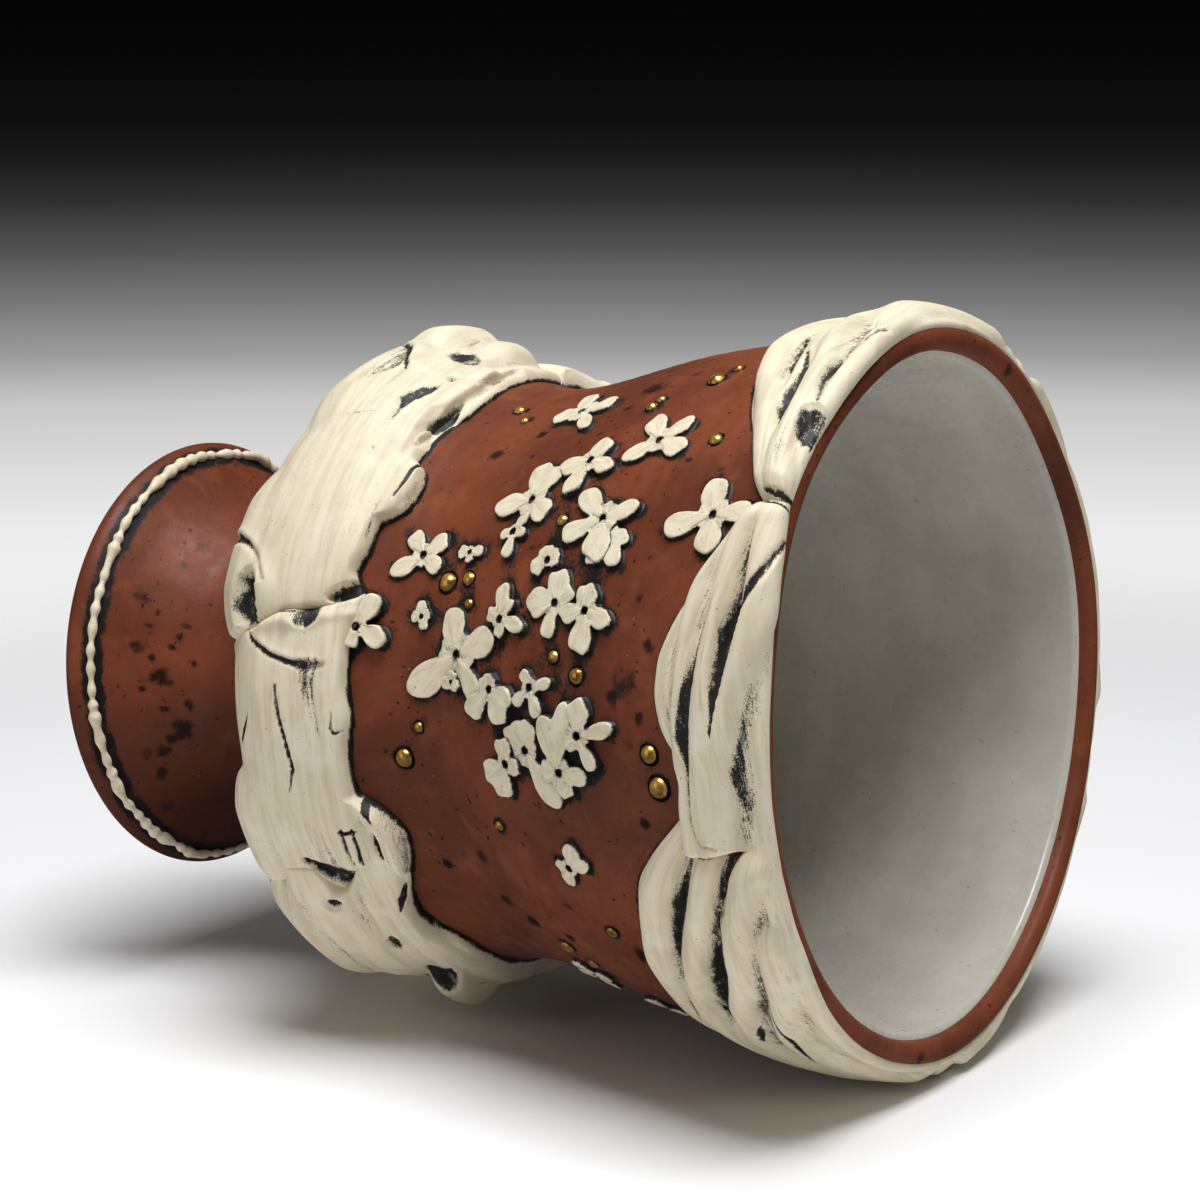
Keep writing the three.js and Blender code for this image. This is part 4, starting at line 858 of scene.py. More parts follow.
# Grid of noise with cells of the given counts, about -1 to 1, smoothly interpolated
def soft_noise(rows, columns, cell_rows, cell_columns):
    cells = tuple(max(int(count), 1) + NOISE_MARGIN for count in (cell_rows, cell_columns))
    coarse = rng.uniform(-1, 1, cells)

    def stretch(values, count):
        place = np.linspace(1, values.shape[0] - NOISE_END, count)
        k = place.astype(int)
        t = eased((place - k)[:, None])
        return values[k] * (1 - t) + values[k + 1] * t

    return stretch(stretch(coarse, rows).T, columns).T


def blurred(values, radius):
    reach = max(int(BLUR_REACH * radius), 1)
    kernel = np.exp(-((np.arange(-reach, reach + 1) / radius) ** 2) / 2)
    kernel /= kernel.sum()
    for axis in (0, 1):
        padded = np.pad(values, [(reach, reach) if k == axis else (0, 0) for k in (0, 1)], mode="edge")
        values = np.apply_along_axis(lambda line: np.convolve(line, kernel, mode="valid"), axis, padded)
    return values


# Quads of a grid of points, rows by columns, optionally closed along either way
def grid_faces(rows, columns, close_rows=False, close_columns=False):
    index = np.arange(rows * columns).reshape(rows, columns)
    if close_rows:
        index = np.vstack([index, index[:1]])
    if close_columns:
        index = np.hstack([index, index[:, :1]])
    corners = [index[:-1, :-1], index[1:, :-1], index[1:, 1:], index[:-1, 1:]]
    return np.stack(corners, axis=-1).reshape(-1, 4)


# Object from grids of points with their attributes: (points, faces, {name: values}) for each grid
def add_object(name, grids, material):
    points, faces, offset = [], [], 0
    for grid, quads, _ in grids:
        flat = grid.reshape(-1, 3)
        points.append(flat)
        faces.append(quads + offset)
        offset += len(flat)
    mesh = bpy.data.meshes.new(name)
    mesh.from_pydata((np.concatenate(points) * MM).tolist(), [], np.concatenate(faces).tolist())
    for key in grids[0][2]:
        values = np.concatenate([np.asarray(layers[key], dtype=float).reshape(-1) for _, _, layers in grids])
        kind = "FLOAT" if len(values) == offset else "FLOAT_VECTOR"
        layer = mesh.attributes.new(key, kind, "POINT")
        layer.data.foreach_set("value" if kind == "FLOAT" else "vector", values)
    mesh.polygons.foreach_set("use_smooth", np.ones(len(mesh.polygons), dtype=bool))
    mesh.materials.append(material)
    mesh.update()
    piece = bpy.data.objects.new(name, mesh)
    bpy.context.scene.collection.objects.link(piece)
    return piece


def dress(piece, node=None):
    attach(piece, "root")
    if node:
        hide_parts(node)


# Shader nodes: `inputs` maps a socket's name or number to a value or to another node's socket
def shader_node(tree, kind, inputs, **settings):
    made = tree.nodes.new(kind)
    for key, value in settings.items():
        setattr(made, key, value)
    for key, value in inputs.items():
        if isinstance(value, bpy.types.NodeSocket):
            tree.links.new(value, made.inputs[key])
        else:
            made.inputs[key].default_value = value
    return made


def calc(tree, operation, a, b):
    return shader_node(tree, "ShaderNodeMath", {0: a, 1: b}, operation=operation).outputs[0]


def vector_calc(tree, operation, a, b, output):
    return shader_node(tree, "ShaderNodeVectorMath", {0: a, 1: b}, operation=operation).outputs[output]


def ramp(tree, value, low, high, to_low=0, to_high=1, easing="SMOOTHSTEP"):
    inputs = {"Value": value, "From Min": low, "From Max": high, "To Min": to_low, "To Max": to_high}
    return shader_node(tree, "ShaderNodeMapRange", inputs, interpolation_type=easing).outputs[0]


def spread(tree, value, name):
    return ramp(tree, value, *SPREADS[name])


def mixed(tree, factor, a, b):
    return shader_node(tree, "ShaderNodeMix", {0: factor, 6: a, 7: b}, data_type="RGBA").outputs[2]


def mixed_value(tree, factor, a, b):
    return shader_node(tree, "ShaderNodeMix", {0: factor, 2: a, 3: b}, data_type="FLOAT").outputs[0]


def noise_node(tree, vector, scale, detail, roughness):
    inputs = {"Vector": vector, "Scale": scale, "Detail": detail, "Roughness": roughness}
    return shader_node(tree, "ShaderNodeTexNoise", inputs).outputs[0]


def noise(tree, vector, name):
    return noise_node(tree, vector, *NOISES[name])


def pattern(tree, vector, name):
    scale, detail, roughness, *limits = PATTERNS[name]
    return ramp(tree, noise_node(tree, vector, scale, detail, roughness), *limits)


def attribute(tree, name, output="Fac"):
    return shader_node(tree, "ShaderNodeAttribute", {}, attribute_name=name).outputs[output]


def coordinates(tree, kind):
    return shader_node(tree, "ShaderNodeTexCoord", {}).outputs[kind]


def new_material(name):
    material = bpy.data.materials.new(name)
    material.use_nodes = True
    tree = material.node_tree
    return material, tree, tree.nodes["Principled BSDF"]


def fit(tree, shader, colour, roughness, relief, bump):
    depth, strength = bump
    inputs = {"Height": relief, "Distance": depth * MM, "Strength": strength}
    normal = shader_node(tree, "ShaderNodeBump", inputs).outputs[0]
    tree.links.new(colour, shader.inputs["Base Color"])
    tree.links.new(roughness, shader.inputs["Roughness"])
    tree.links.new(normal, shader.inputs["Normal"])


# Amount of wash and painted shade broken up by grain, so that half-washed places look rubbed
def rubbed(tree, amount, grain, rough):
    lifted = ramp(tree, grain, *GRAIN_RANGE, -rough, rough)
    return spread(tree, calc(tree, "ADD", amount, lifted), "wash_and_shade")


def red_clay_material():
    material, tree, shader = new_material("red_clay")
    where = coordinates(tree, "Object")
    colour = mixed(tree, pattern(tree, where, "red_tone"), RED_DARK, RED)
    colour = mixed(tree, pattern(tree, where, "red_warm"), colour, RED_WARM)
    colour = mixed(tree, pattern(tree, where, "red_dust"), colour, RED_DARK)
    fine = noise(tree, where, "red_fine")
    cells = {"Vector": where, "Scale": IRON_CELLS, "Randomness": 1}
    cell = shader_node(tree, "ShaderNodeTexVoronoi", cells).outputs["Distance"]
    cell = calc(tree, "ADD", cell, calc(tree, "MULTIPLY", fine, IRON_CELL_FRAY))
    blots = calc(tree, "MULTIPLY", spread(tree, cell, "iron_cells"), pattern(tree, where, "iron_places"))
    specks = calc(tree, "MAXIMUM", pattern(tree, where, "iron_specks"), blots)
    placed = calc(tree, "ADD", attribute(tree, "spot"), pattern(tree, where, "iron_frayed"))
    specks = calc(tree, "MAXIMUM", specks, spread(tree, placed, "iron_spots"))
    colour = mixed(tree, specks, colour, IRON)
    # Painted shade on the foot's side that faces the table
    colour = mixed(tree, attribute(tree, "painted_shade"), colour, RED_PAINTED_SHADE)
    colour = mixed(tree, pattern(tree, where, "pale_specks"), colour, CREAM_SHADE)
    patches = calc(tree, "MULTIPLY", attribute(tree, "wash_and_shade"), pattern(tree, where, "wash_patches"))
    wash_and_shade = rubbed(tree, patches, noise(tree, where, "red_grain"), WALL_GRAIN)
    colour = mixed(tree, wash_and_shade, colour, BLACK_WASH_AND_SHADE)
    shader.inputs["Specular IOR Level"].default_value = RED_SPECULAR
    fit(tree, shader, colour, pattern(tree, where, "red_shine"), fine, RED_BUMP)
    return material


def porcelain_material(name, streak_scale, rough):
    material, tree, shader = new_material(name)
    where = coordinates(tree, "Object")
    flow = vector_calc(tree, "MULTIPLY", attribute(tree, "flow", "Vector"), streak_scale, 0)
    streaks = noise(tree, flow, "streaks")
    colour = mixed(tree, spread(tree, streaks, "streaks"), CREAM_SHADE, CREAM)
    colour = mixed(tree, pattern(tree, where, "cream_light"), colour, CREAM_LIGHT)
    fine, coarse = noise(tree, where, "cream_grain"), noise(tree, flow, "streak_grain")
    grain = mixed_value(tree, STREAKS_IN_GRAIN, fine, coarse)
    veins = calc(tree, "MULTIPLY", attribute(tree, "wash_and_shade"), pattern(tree, where, "cream_veins"))
    wash_and_shade = rubbed(tree, veins, grain, rough)
    brushed = pattern(tree, flow, "brushed")
    brushed = calc(tree, "MULTIPLY", brushed, pattern(tree, where, "brushed_places"))
    flecked = calc(tree, "MAXIMUM", wash_and_shade, pattern(tree, where, "cream_flecks"))
    colour = mixed(tree, calc(tree, "MAXIMUM", flecked, brushed), colour, BLACK_WASH_AND_SHADE)
    relief = calc(tree, "ADD", streaks, noise(tree, where, "cream_relief"))
    fit(tree, shader, colour, pattern(tree, where, "cream_shine"), relief, CREAM_BUMP)
    return material


def glaze_material():
    material, tree, shader = new_material("white_glaze")
    where = coordinates(tree, "Object")
    colour = mixed(tree, pattern(tree, where, "glaze_tone"), GLAZE_SHADE, GLAZE)
    colour = mixed(tree, pattern(tree, where, "glaze_flecks"), colour, IRON)
    shine = pattern(tree, where, "glaze_shine")
    fit(tree, shader, colour, shine, noise(tree, where, "glaze_relief"), GLAZE_BUMP)
    return material


def gold_material():
    material, tree, shader = new_material("gold_lustre")
    where = coordinates(tree, "Object")
    worn = noise(tree, where, "gold_worn")
    colour = mixed(tree, spread(tree, worn, "gold_worn"), GOLD_DARK, GOLD)
    colour = mixed(tree, rubbed(tree, attribute(tree, "wash_and_shade"), worn, WALL_GRAIN), colour, BLACK_WASH_AND_SHADE)
    shader.inputs["Metallic"].default_value = GOLD_METALLIC
    shine = spread(tree, worn, "gold_shine")
    fit(tree, shader, colour, shine, noise(tree, where, "gold_relief"), GOLD_BUMP)
    return material


red_clay = red_clay_material()
porcelains = {name: porcelain_material(name, *look) for name, look in PORCELAINS.items()}
white_glaze = glaze_material()
gold_lustre = gold_material()


# Reach of a sprig's outline in each direction: broad-ended petals joined by a web
def sprig_reach(direction, petals):
    web = max(SPRIG_WEB * np.mean([length for _, length, _ in petals]), SPRIG_LEAST_WEB)
    total = np.full_like(direction, web**SPRIG_BLEND)
    for way, length, wide in petals:
        off = wrapped(direction - math.radians(way), -math.pi, 2 * math.pi)
        half = min(wide / (PETAL_SPREAD * length), PETAL_WIDEST)
        petal = length * unit(1 - (off / half) ** 2) ** PETAL_BLUNT
        total = total + petal**SPRIG_BLEND
    return total ** (1 / SPRIG_BLEND)


# Soft round spots: how much of a spot lies at each place
def spotted(angle, height, radius, spots):
    amount = np.zeros_like(angle)
    for at, level, wide, tall in spots:
        x = np.radians(wrapped(angle - at)) * radius
        off = np.hypot(x / wide, (height - level) / tall)
        amount = np.maximum(amount, unit((SPOT_EDGE - off) / SPOT_SOFT))
    return amount


# Share of the wall that stays clean at a distance from an ornament
def clean_share(away, most, reach):
    return 1 - most * np.exp(-np.maximum(away, 0) / reach)


# Black residue left on the red wall round the ornaments: the nearer and the more of them, the blacker
def wall_residue(angle, height):
    clean = np.ones_like(angle)
    angle = wrapped(angle, DRAPERY_START)
    edges = [(1, sheet["top"]) for sheet in BELLY_SHEETS] + [(-1, swag["bottom"]) for swag in RIM_SWAGS]
    for side, points in edges:
        away = side * (height - curve_through(points)(angle))
        near = (angle > points[0][0]) & (angle < points[-1][0]) & (away > -EDGE_RESIDUE_UNDER)
        clean *= np.where(near, clean_share(away, 1, EDGE_RESIDUE_REACH), 1)
    for at, level, _, petals in (sprig for cluster in SPRIGS for sprig in cluster):
        x, y = np.radians(wrapped(angle - at)) * wall_radius(level), height - level
        apart = np.hypot(x, y)
        near = apart < RESIDUE_FARTHEST + max(length for _, length, _ in petals)
        away = apart[near] - sprig_reach(np.arctan2(y[near], x[near]), petals)
        clean[near] *= clean_share(away, RESIDUE_MOST, RESIDUE_REACH)
        clean[near] *= clean_share(away, SMEAR_MOST, SMEAR_REACH)
    for at, up, share in [*GOLD_DOTS, *GOLD_SPECKS]:
        level = field_level(up)
        x = np.radians(wrapped(angle - at)) * wall_radius(level)
        away = np.hypot(x, height - level) - share * DOT_RADIUS
        clean *= clean_share(away, RESIDUE_MOST, RESIDUE_REACH)
    return 1 - clean


# The bowl: underside, red field, rounded lip and the inner face under the glaze
def cup_bowl():
    front = np.linspace(-FRONT_ANGLE, FRONT_ANGLE, FRONT_COLUMNS, endpoint=False)
    back = np.linspace(FRONT_ANGLE, FULL_TURN - FRONT_ANGLE, BACK_COLUMNS, endpoint=False)
    under = np.linspace(FOOT_HEIGHT, FIELD_START, UNDERSIDE_ROWS)[:-1]
    outer_levels = np.concatenate([under, np.linspace(FIELD_START, LIP_SHOULDER, FIELD_ROWS)])
    inner_top = np.linspace(LIP_SHOULDER, INNER_TOP_END, INNER_ROWS)
    inner_low = np.linspace(INNER_LOW_START, FOOT_HEIGHT + BOWL_WALL, INNER_ROWS)
    inner_radius, inner_height = section_point(np.concatenate([inner_top, inner_low]), -BOWL_WALL)
    start = np.array([wall_radius(LIP_SHOULDER), LIP_SHOULDER])
    end = np.array([inner_radius[0], inner_height[0]])
    centre = (start + end) / 2
    swing = np.linspace(0, math.pi, LIP_ROWS)[1:-1]
    crest = [0, LIP_LEVEL - centre[1]]
    lip = centre + np.outer(np.cos(swing), start - centre) + np.outer(np.sin(swing), crest)
    radius = np.concatenate([wall_radius(outer_levels), lip[:, 0], inner_radius, [AXIS_RADIUS]])
    height = np.concatenate([outer_levels, lip[:, 1], inner_height, [inner_height[-1]]])
    angle, radius, height = turned(np.concatenate([front, back]), radius, height)
    rows, columns = height.shape
    outer = np.arange(rows)[:, None] < len(outer_levels)
    lines = throwing_lines(angle, height, THROWING_DEPTH, THROWING_PITCH)
    grown = radius + wall_wave(angle, height) + np.where(outer, lines, 0)
    points = around(angle, grown, height + lip_rise(angle, height))
    wash_and_shade = np.where(outer, wall_residue(angle, height), 0)
    spots = spotted(angle, height, BELLY_RADIUS, WALL_SPOTS)
    layers = {"wash_and_shade": wash_and_shade, "spot": spots, "painted_shade": 0 * wash_and_shade}
    return add_object("bowl", [(points, grid_faces(rows, columns, False, True), layers)], red_clay)


dress(cup_bowl(), "cup_bowl")


# Outer radius of the foot at a height
def foot_radius(height):
    edge = FOOT_RADIUS + FOOT_EDGE_BULGE * np.sin(math.pi * unit(height / FOOT_EDGE_HEIGHT))
    left = unit((FOOT_HEIGHT - height) / (FOOT_HEIGHT - FOOT_EDGE_HEIGHT))
    sweep = NECK_RADIUS + (FOOT_RADIUS - NECK_RADIUS) * left**FOOT_SWEEP
    return np.where(height <= FOOT_EDGE_HEIGHT, edge, sweep)


# The foot: edge and sweep outside, then down the hollow to the foot ring
def foot_pedestal():
    edge = np.linspace(0, FOOT_EDGE_HEIGHT, FOOT_EDGE_ROWS)
    sweep = np.linspace(FOOT_EDGE_HEIGHT, FOOT_HEIGHT, FOOT_SWEEP_ROWS)[1:]
    hollow = np.linspace(FOOT_HEIGHT, FOOT_EDGE_HEIGHT, FOOT_HOLLOW_ROWS)
    height = np.concatenate([edge, sweep, hollow, [0]])
    inner = [*(foot_radius(hollow) - FOOT_WALL), FOOT_RADIUS - FOOT_WALL]
    radius = np.concatenate([foot_radius(edge), foot_radius(sweep), inner])
    angles = all_round(FOOT_COLUMNS, -FULL_TURN / 2, FULL_TURN)
    angle, radius, height = turned(angles, radius, height)
    rows, columns = height.shape
    outer = np.arange(rows)[:, None] < len(edge) + len(sweep)
    lines = throwing_lines(angle, height, THROWING_DEPTH, THROWING_PITCH)
    radius = radius + np.where(outer & (height > FOOT_EDGE_HEIGHT), lines, 0)
    away = height - FOOT_EDGE_HEIGHT
    above = unit((TRAIL_BAND - away) / TRAIL_BAND_SOFT)
    below = unit((TRAIL_BAND_BELOW + away) / TRAIL_BAND_SOFT)
    wash_and_shade = np.where(outer, above * below, 0)
    # Painted shade, darkest on the side that faces the table in the lying pose
    at = wrapped(angle, FOOT_SHADE_BACK)
    painted_shade = FOOT_SHADE_MOST * unit((at - FOOT_SHADE_START) / FOOT_SHADE_SOFT)
    painted_shade = painted_shade * unit((FOOT_SHADE_END - at) / FOOT_SHADE_SOFT)
    layers = {"wash_and_shade": wash_and_shade, "spot": spotted(angle, height, radius, FOOT_SPOTS), "painted_shade": painted_shade}
    faces = grid_faces(rows, columns, True, True)
    return add_object("foot", [(around(angle, radius, height), faces, layers)], red_clay)


dress(foot_pedestal(), "foot_pedestal")


# The glaze inside the bowl
def glaze_liner():
    levels = np.linspace(FOOT_HEIGHT + BOWL_WALL + GLAZE_FLOOR_RISE, LIP_LEVEL - GLAZE_SETBACK, LINER_ROWS)
    radius, height = section_point(levels, -BOWL_WALL - GLAZE_DEPTH)
    radius = np.concatenate([[AXIS_RADIUS], radius, [radius[-1] + GLAZE_DEPTH * 2]])
    height = np.concatenate([[height[0]], height, [height[-1] + GLAZE_TOP_RISE]])
    angles = all_round(LINER_COLUMNS, -FULL_TURN / 2, FULL_TURN)
    angle, radius, height = turned(angles, radius, height)
    rows, columns = height.shape
    lines = throwing_lines(angle, height, GLAZE_LINES_DEPTH, GLAZE_LINES_PITCH)
    inside = (radius > GLAZE_CENTRE) & (np.arange(rows)[:, None] < rows - 1)
    grown = radius + wall_wave(angle, height) + np.where(inside, lines - GLAZE_INSET, 0)
    points = around(angle, grown, height + lip_rise(angle, height))
    return add_object("liner", [(points, grid_faces(rows, columns, False, True), {})], white_glaze)


dress(glaze_liner(), "glaze_liner")


# The beaded slip line, which sits on the foot's edge along the edge's normal
def bead_trail():
    steps = BEAD_COUNT * BEAD_STEPS
    swing = all_round(steps)
    jitter = soft_noise(1, steps, 1, BEAD_COUNT * BEAD_SHIFT_CELLS)[0]
    beads = (1 + np.cos(BEAD_COUNT * swing + BEAD_SHIFT * jitter)) / 2
    thick = TRAIL_RADIUS * (TRAIL_LEAST + TRAIL_SWELL * beads + TRAIL_UNEVEN * jitter)
    wander = TRAIL_WANDER * soft_noise(1, steps, 1, BEAD_COUNT * TRAIL_WANDER_CELLS)[0]
    slope = -math.pi * FOOT_EDGE_BULGE / FOOT_EDGE_HEIGHT
    length = math.hypot(1, slope)
    lift = TRAIL_RADIUS * TRAIL_LIFT
    centre_radius = FOOT_RADIUS + lift / length + wander
    centre_height = FOOT_EDGE_HEIGHT - lift * slope / length + TRAIL_WANDER_UP * wander
    turn = all_round(TRAIL_SIDES)
    radius = centre_radius[:, None] + thick[:, None] * np.cos(turn)
    height = centre_height[:, None] + thick[:, None] * np.sin(turn)
    angle = np.repeat(np.degrees(swing)[:, None], TRAIL_SIDES, axis=1)
    wash_and_shade = np.repeat((TRAIL_WASH * (1 - beads) ** TRAIL_WASH_POWER)[:, None], TRAIL_SIDES, axis=1)
    layers = {"wash_and_shade": wash_and_shade, "flow": np.stack([angle, height, radius], axis=-1)}
    faces = grid_faces(steps, TRAIL_SIDES, True, True)[:, ::-1]
    return add_object("bead_line", [(around(angle, radius, height), faces, layers)], porcelains["slip_line"])


dress(bead_trail(), "foot_bead_trail")


# Height of one rounded fold above its sheet at each angle and height, tapering to nothing at its ends
def fold_height(fold, angle, height, radius):
    points, half, rise = fold
    centre = curve_through(points)
    start, end = points[0][0], points[-1][0]
    climb = centre(angle + SLOPE_ANGLE) - centre(angle - SLOPE_ANGLE)
    lean = climb / (math.radians(2 * SLOPE_ANGLE) * radius)
    off = (height - centre(angle)) / np.sqrt(1 + lean**2)
    inside = np.minimum(angle - start, end - angle) * math.radians(radius)
    inside = unit(inside / (FOLD_TAPER * half))
    width = half * np.sqrt(inside * (2 - inside)) + FOLD_LEAST
    return rise * np.sqrt(inside) * np.sqrt(unit(1 - (off / width) ** 2))


# All folds of a piece together: the highest ridge and the deepest press at each place, softened
def fold_relief(folds, angle, height, radius, pitch):
    raised, pressed = np.zeros_like(angle), np.zeros_like(angle)
    for fold in folds:
        rise = fold_height(fold, angle, height, radius)
        raised, pressed = np.maximum(raised, rise), np.minimum(pressed, rise)
    return blurred(raised + pressed, FOLD_BLUR / pitch)


# For a hollow: its share of depth and of black, wash with painted shade falling from its sharp side, at each
# place, and the raised lip on its sharp side
def hollow_masks(points, angle, height, radius):
    scale = math.radians(radius)
    x, y = angle * scale, height
    path = [(a * scale, b, wide + math.copysign(HOLLOW_WIDEN * abs(wide), wide), black)
            for a, b, wide, black in points]
    nearest = np.full(angle.shape, np.inf)
    side, width, dark = (np.zeros(angle.shape) for _ in range(3))
    for (a, b, w0, k0), (c, d, w1, k1) in zip(path[:-1], path[1:]):
        length = math.hypot(c - a, d - b)
        t = unit(((x - a) * (c - a) + (y - b) * (d - b)) / length**2)
        apart = np.hypot(x - a - t * (c - a), y - b - t * (d - b))
        right = np.sign((x - a) * (d - b) - (y - b) * (c - a))
        closer = apart < nearest
        nearest = np.where(closer, apart, nearest)
        side = np.where(closer, right * math.copysign(1, w0), side)
        width = np.where(closer, np.abs(w0 + (w1 - w0) * t), width)
        dark = np.where(closer, k0 + (k1 - k0) * t, dark)
    inward = side * nearest
    cut = unit(0.5 + inward / HOLLOW_CUT)
    left = unit(1 - np.maximum(inward, 0) / width)
    fade = unit(left / (1 - HOLLOW_FLAT * unit(dark) ** HOLLOW_FLAT_POWER))
    lip = np.exp(-((inward / HOLLOW_LIP_WIDE) ** 2)) * (1 - cut) * unit(width / HOLLOW_LIP_FULL)
    return cut * np.sqrt(left), cut * fade * dark, lip


# For a pit: its depth and its share of black, wash with painted shade, at each place
def pit_masks(pit, angle, height, radius, frayed):
    at, level, wide, tall, turn, depth, black = pit
    x, y = (angle - at) * math.radians(radius), height - level
    swing = math.radians(turn)
    along = (x * math.cos(swing) + y * math.sin(swing)) / wide
    aside = (y * math.cos(swing) - x * math.sin(swing)) / tall
    off = np.hypot(along, aside)
    one_sided = 1 - PIT_FADE * unit(aside)
    dark = unit((1 - off + PIT_FRAY * frayed) / PIT_SOFT)
    return depth * np.sqrt(unit(1 - off**2)), black * one_sided * dark


# Grid over a piece between its two edges and two ends, its rows closer together towards the edges
def drapery_grid(piece, pitch, radius):
    lower, upper, left, right = (curve_through(piece[key]) for key in ("bottom", "top", "left", "right"))
    widest = max(right(share) - left(share) for share in np.linspace(0, 1, END_SAMPLES))
    start, end = left(0.5), right(0.5)
    sample = np.linspace(start, end, EDGE_SAMPLES)
    tall = max(np.max(upper(sample) - lower(sample)), LEAST_TALL)
    v = np.linspace(0, 1, int(tall / pitch))
    u = np.linspace(0, 1, int(math.radians(widest) * radius / pitch))
    u, v = np.meshgrid(u, v - EDGE_CROWDING * np.sin(2 * math.pi * v))
    wide = right(v) - left(v)
    angle = left(v) + wide * u
    low, high = lower(angle), upper(angle)
    ends = np.minimum(u, 1 - u) * np.radians(wide) * radius
    return SimpleNamespace(angle=angle, height=low + (high - low) * v, up=v, span=high - low, ends=ends,
                           lowest=np.min(low), tall=tall, middle=(start + end) / 2)


# Rounding of a piece's edges, from 0 along the ragged border to 1 inside it
def edge_rounding(grid):
    rows, columns = grid.angle.shape
    border = np.minimum(np.minimum(grid.up, 1 - grid.up) * grid.span, grid.ends)
    ragged = BORDER_RAGGED * soft_noise(rows, columns, BORDER_CELLS, columns / BORDER_CELL_COLUMNS)
    rim = unit((border + ragged * unit(border)) / EDGE_ROUND)
    return np.sqrt(unit(1 - (1 - rim) ** 2))


# Fine wrinkles along the flow of a piece
def wrinkled(grid, across, pitch):
    rows, columns = grid.angle.shape
    row = np.clip(across / np.max(across) * (rows - 1), 0, rows - 1).astype(int)
    column = np.arange(columns)[None, :]
    total = np.zeros_like(across)
    for share, spacing, length in WRINKLES:
        lines = soft_noise(rows, columns, grid.tall / spacing, columns * pitch / length)
        total = total + share * lines[row, column]
    return STREAK_DEPTH * blurred(total, 1)


def edge_wash(distance):
    return unit(WASH_EDGE_FULL - distance / WASH_EDGE)


# Folded porcelain laid on the wall. A sheet's wrinkles run level and its upper edge is washed too; a swag's
# wrinkles follow its edges.
def drapery(name, node, piece, body, pitch, radius, level_flow):
    grid = drapery_grid(piece, pitch, radius)
    angle, height = grid.angle, grid.height
    rows, columns = angle.shape
    rounding = edge_rounding(grid)
    across = height - grid.lowest if level_flow else grid.up * grid.tall
    stand = body + fold_relief(piece["folds"], angle, height, radius, pitch) + wrinkled(grid, across, pitch)
    # Black wash together with painted shade in the hollows, pits and recesses
    wash_and_shade = np.zeros_like(angle)
    for points, depth in piece["hollows"]:
        deep, dark, lip = hollow_masks(points, angle, height, radius)
        stand = stand - HOLLOW_DEEP * depth * deep + HOLLOW_LIP * min(depth, 1) * lip
        wash_and_shade = np.maximum(wash_and_shade, dark)
    frayed = soft_noise(rows, columns, grid.tall / PIT_FRAY_CELL, columns * pitch / PIT_FRAY_CELL)
    for pit in piece.get("pits", []):
        deep, dark = pit_masks(pit, angle, height, radius, frayed)
        stand = stand - deep
        wash_and_shade = np.maximum(wash_and_shade, dark)
    stand = np.maximum(stand, LEAST_STAND) * rounding - DRAPERY_SUNK * (1 - rounding)
    # The recesses darkened: wash with painted shade
    cavity = blurred(stand, CAVITY_DARKENING_BLUR / pitch) - stand
    wash_and_shade = np.maximum(wash_and_shade, CAVITY_DARKENING_MOST * unit(cavity / CAVITY_DARKENING))
    wash_and_shade = np.maximum(wash_and_shade, edge_wash(np.minimum(grid.up * grid.span, grid.ends)))
    if level_flow:
        wash_and_shade = np.maximum(wash_and_shade, edge_wash((1 - grid.up) * grid.span))
    flow = np.stack([angle * math.radians(radius), across, np.full_like(angle, grid.middle)], axis=-1)
    layers = {"wash_and_shade": wash_and_shade, "flow": flow}
    laid = (on_wall(angle, height, stand), grid_faces(rows, columns)[:, ::-1], layers)
    dress(add_object(name, [laid], porcelains["porcelain"]), node)


for k, sheet in enumerate(BELLY_SHEETS, 1):
    drapery(f"sheet_{k:02}", f"belly_sheet_{k:02}", sheet, SHEET_BODY, SHEET_PITCH, BELLY_RADIUS, True)

for k, swag in enumerate(RIM_SWAGS, 1):
    start, end = swag["bottom"][0][0], swag["bottom"][-1][0]
    band = [(start, LIP_BAND_LEVEL), (end, LIP_BAND_LEVEL)]
    swag["top"] = [(at, LIP_LEVEL + over) for at, over in swag["over_lip"]]
    swag["left"] = [(0, start), (1, start)]
    swag.setdefault("right", [(0, end), (1, end)])
    swag["folds"] = [*swag["folds"], (band, LIP_BAND_HALF, LIP_BAND_HEIGHT)]
    drapery(f"swag_{k:02}", f"rim_swag_{k:02}", swag, SWAG_BODY, SWAG_PITCH, LIP_RADIUS, False)


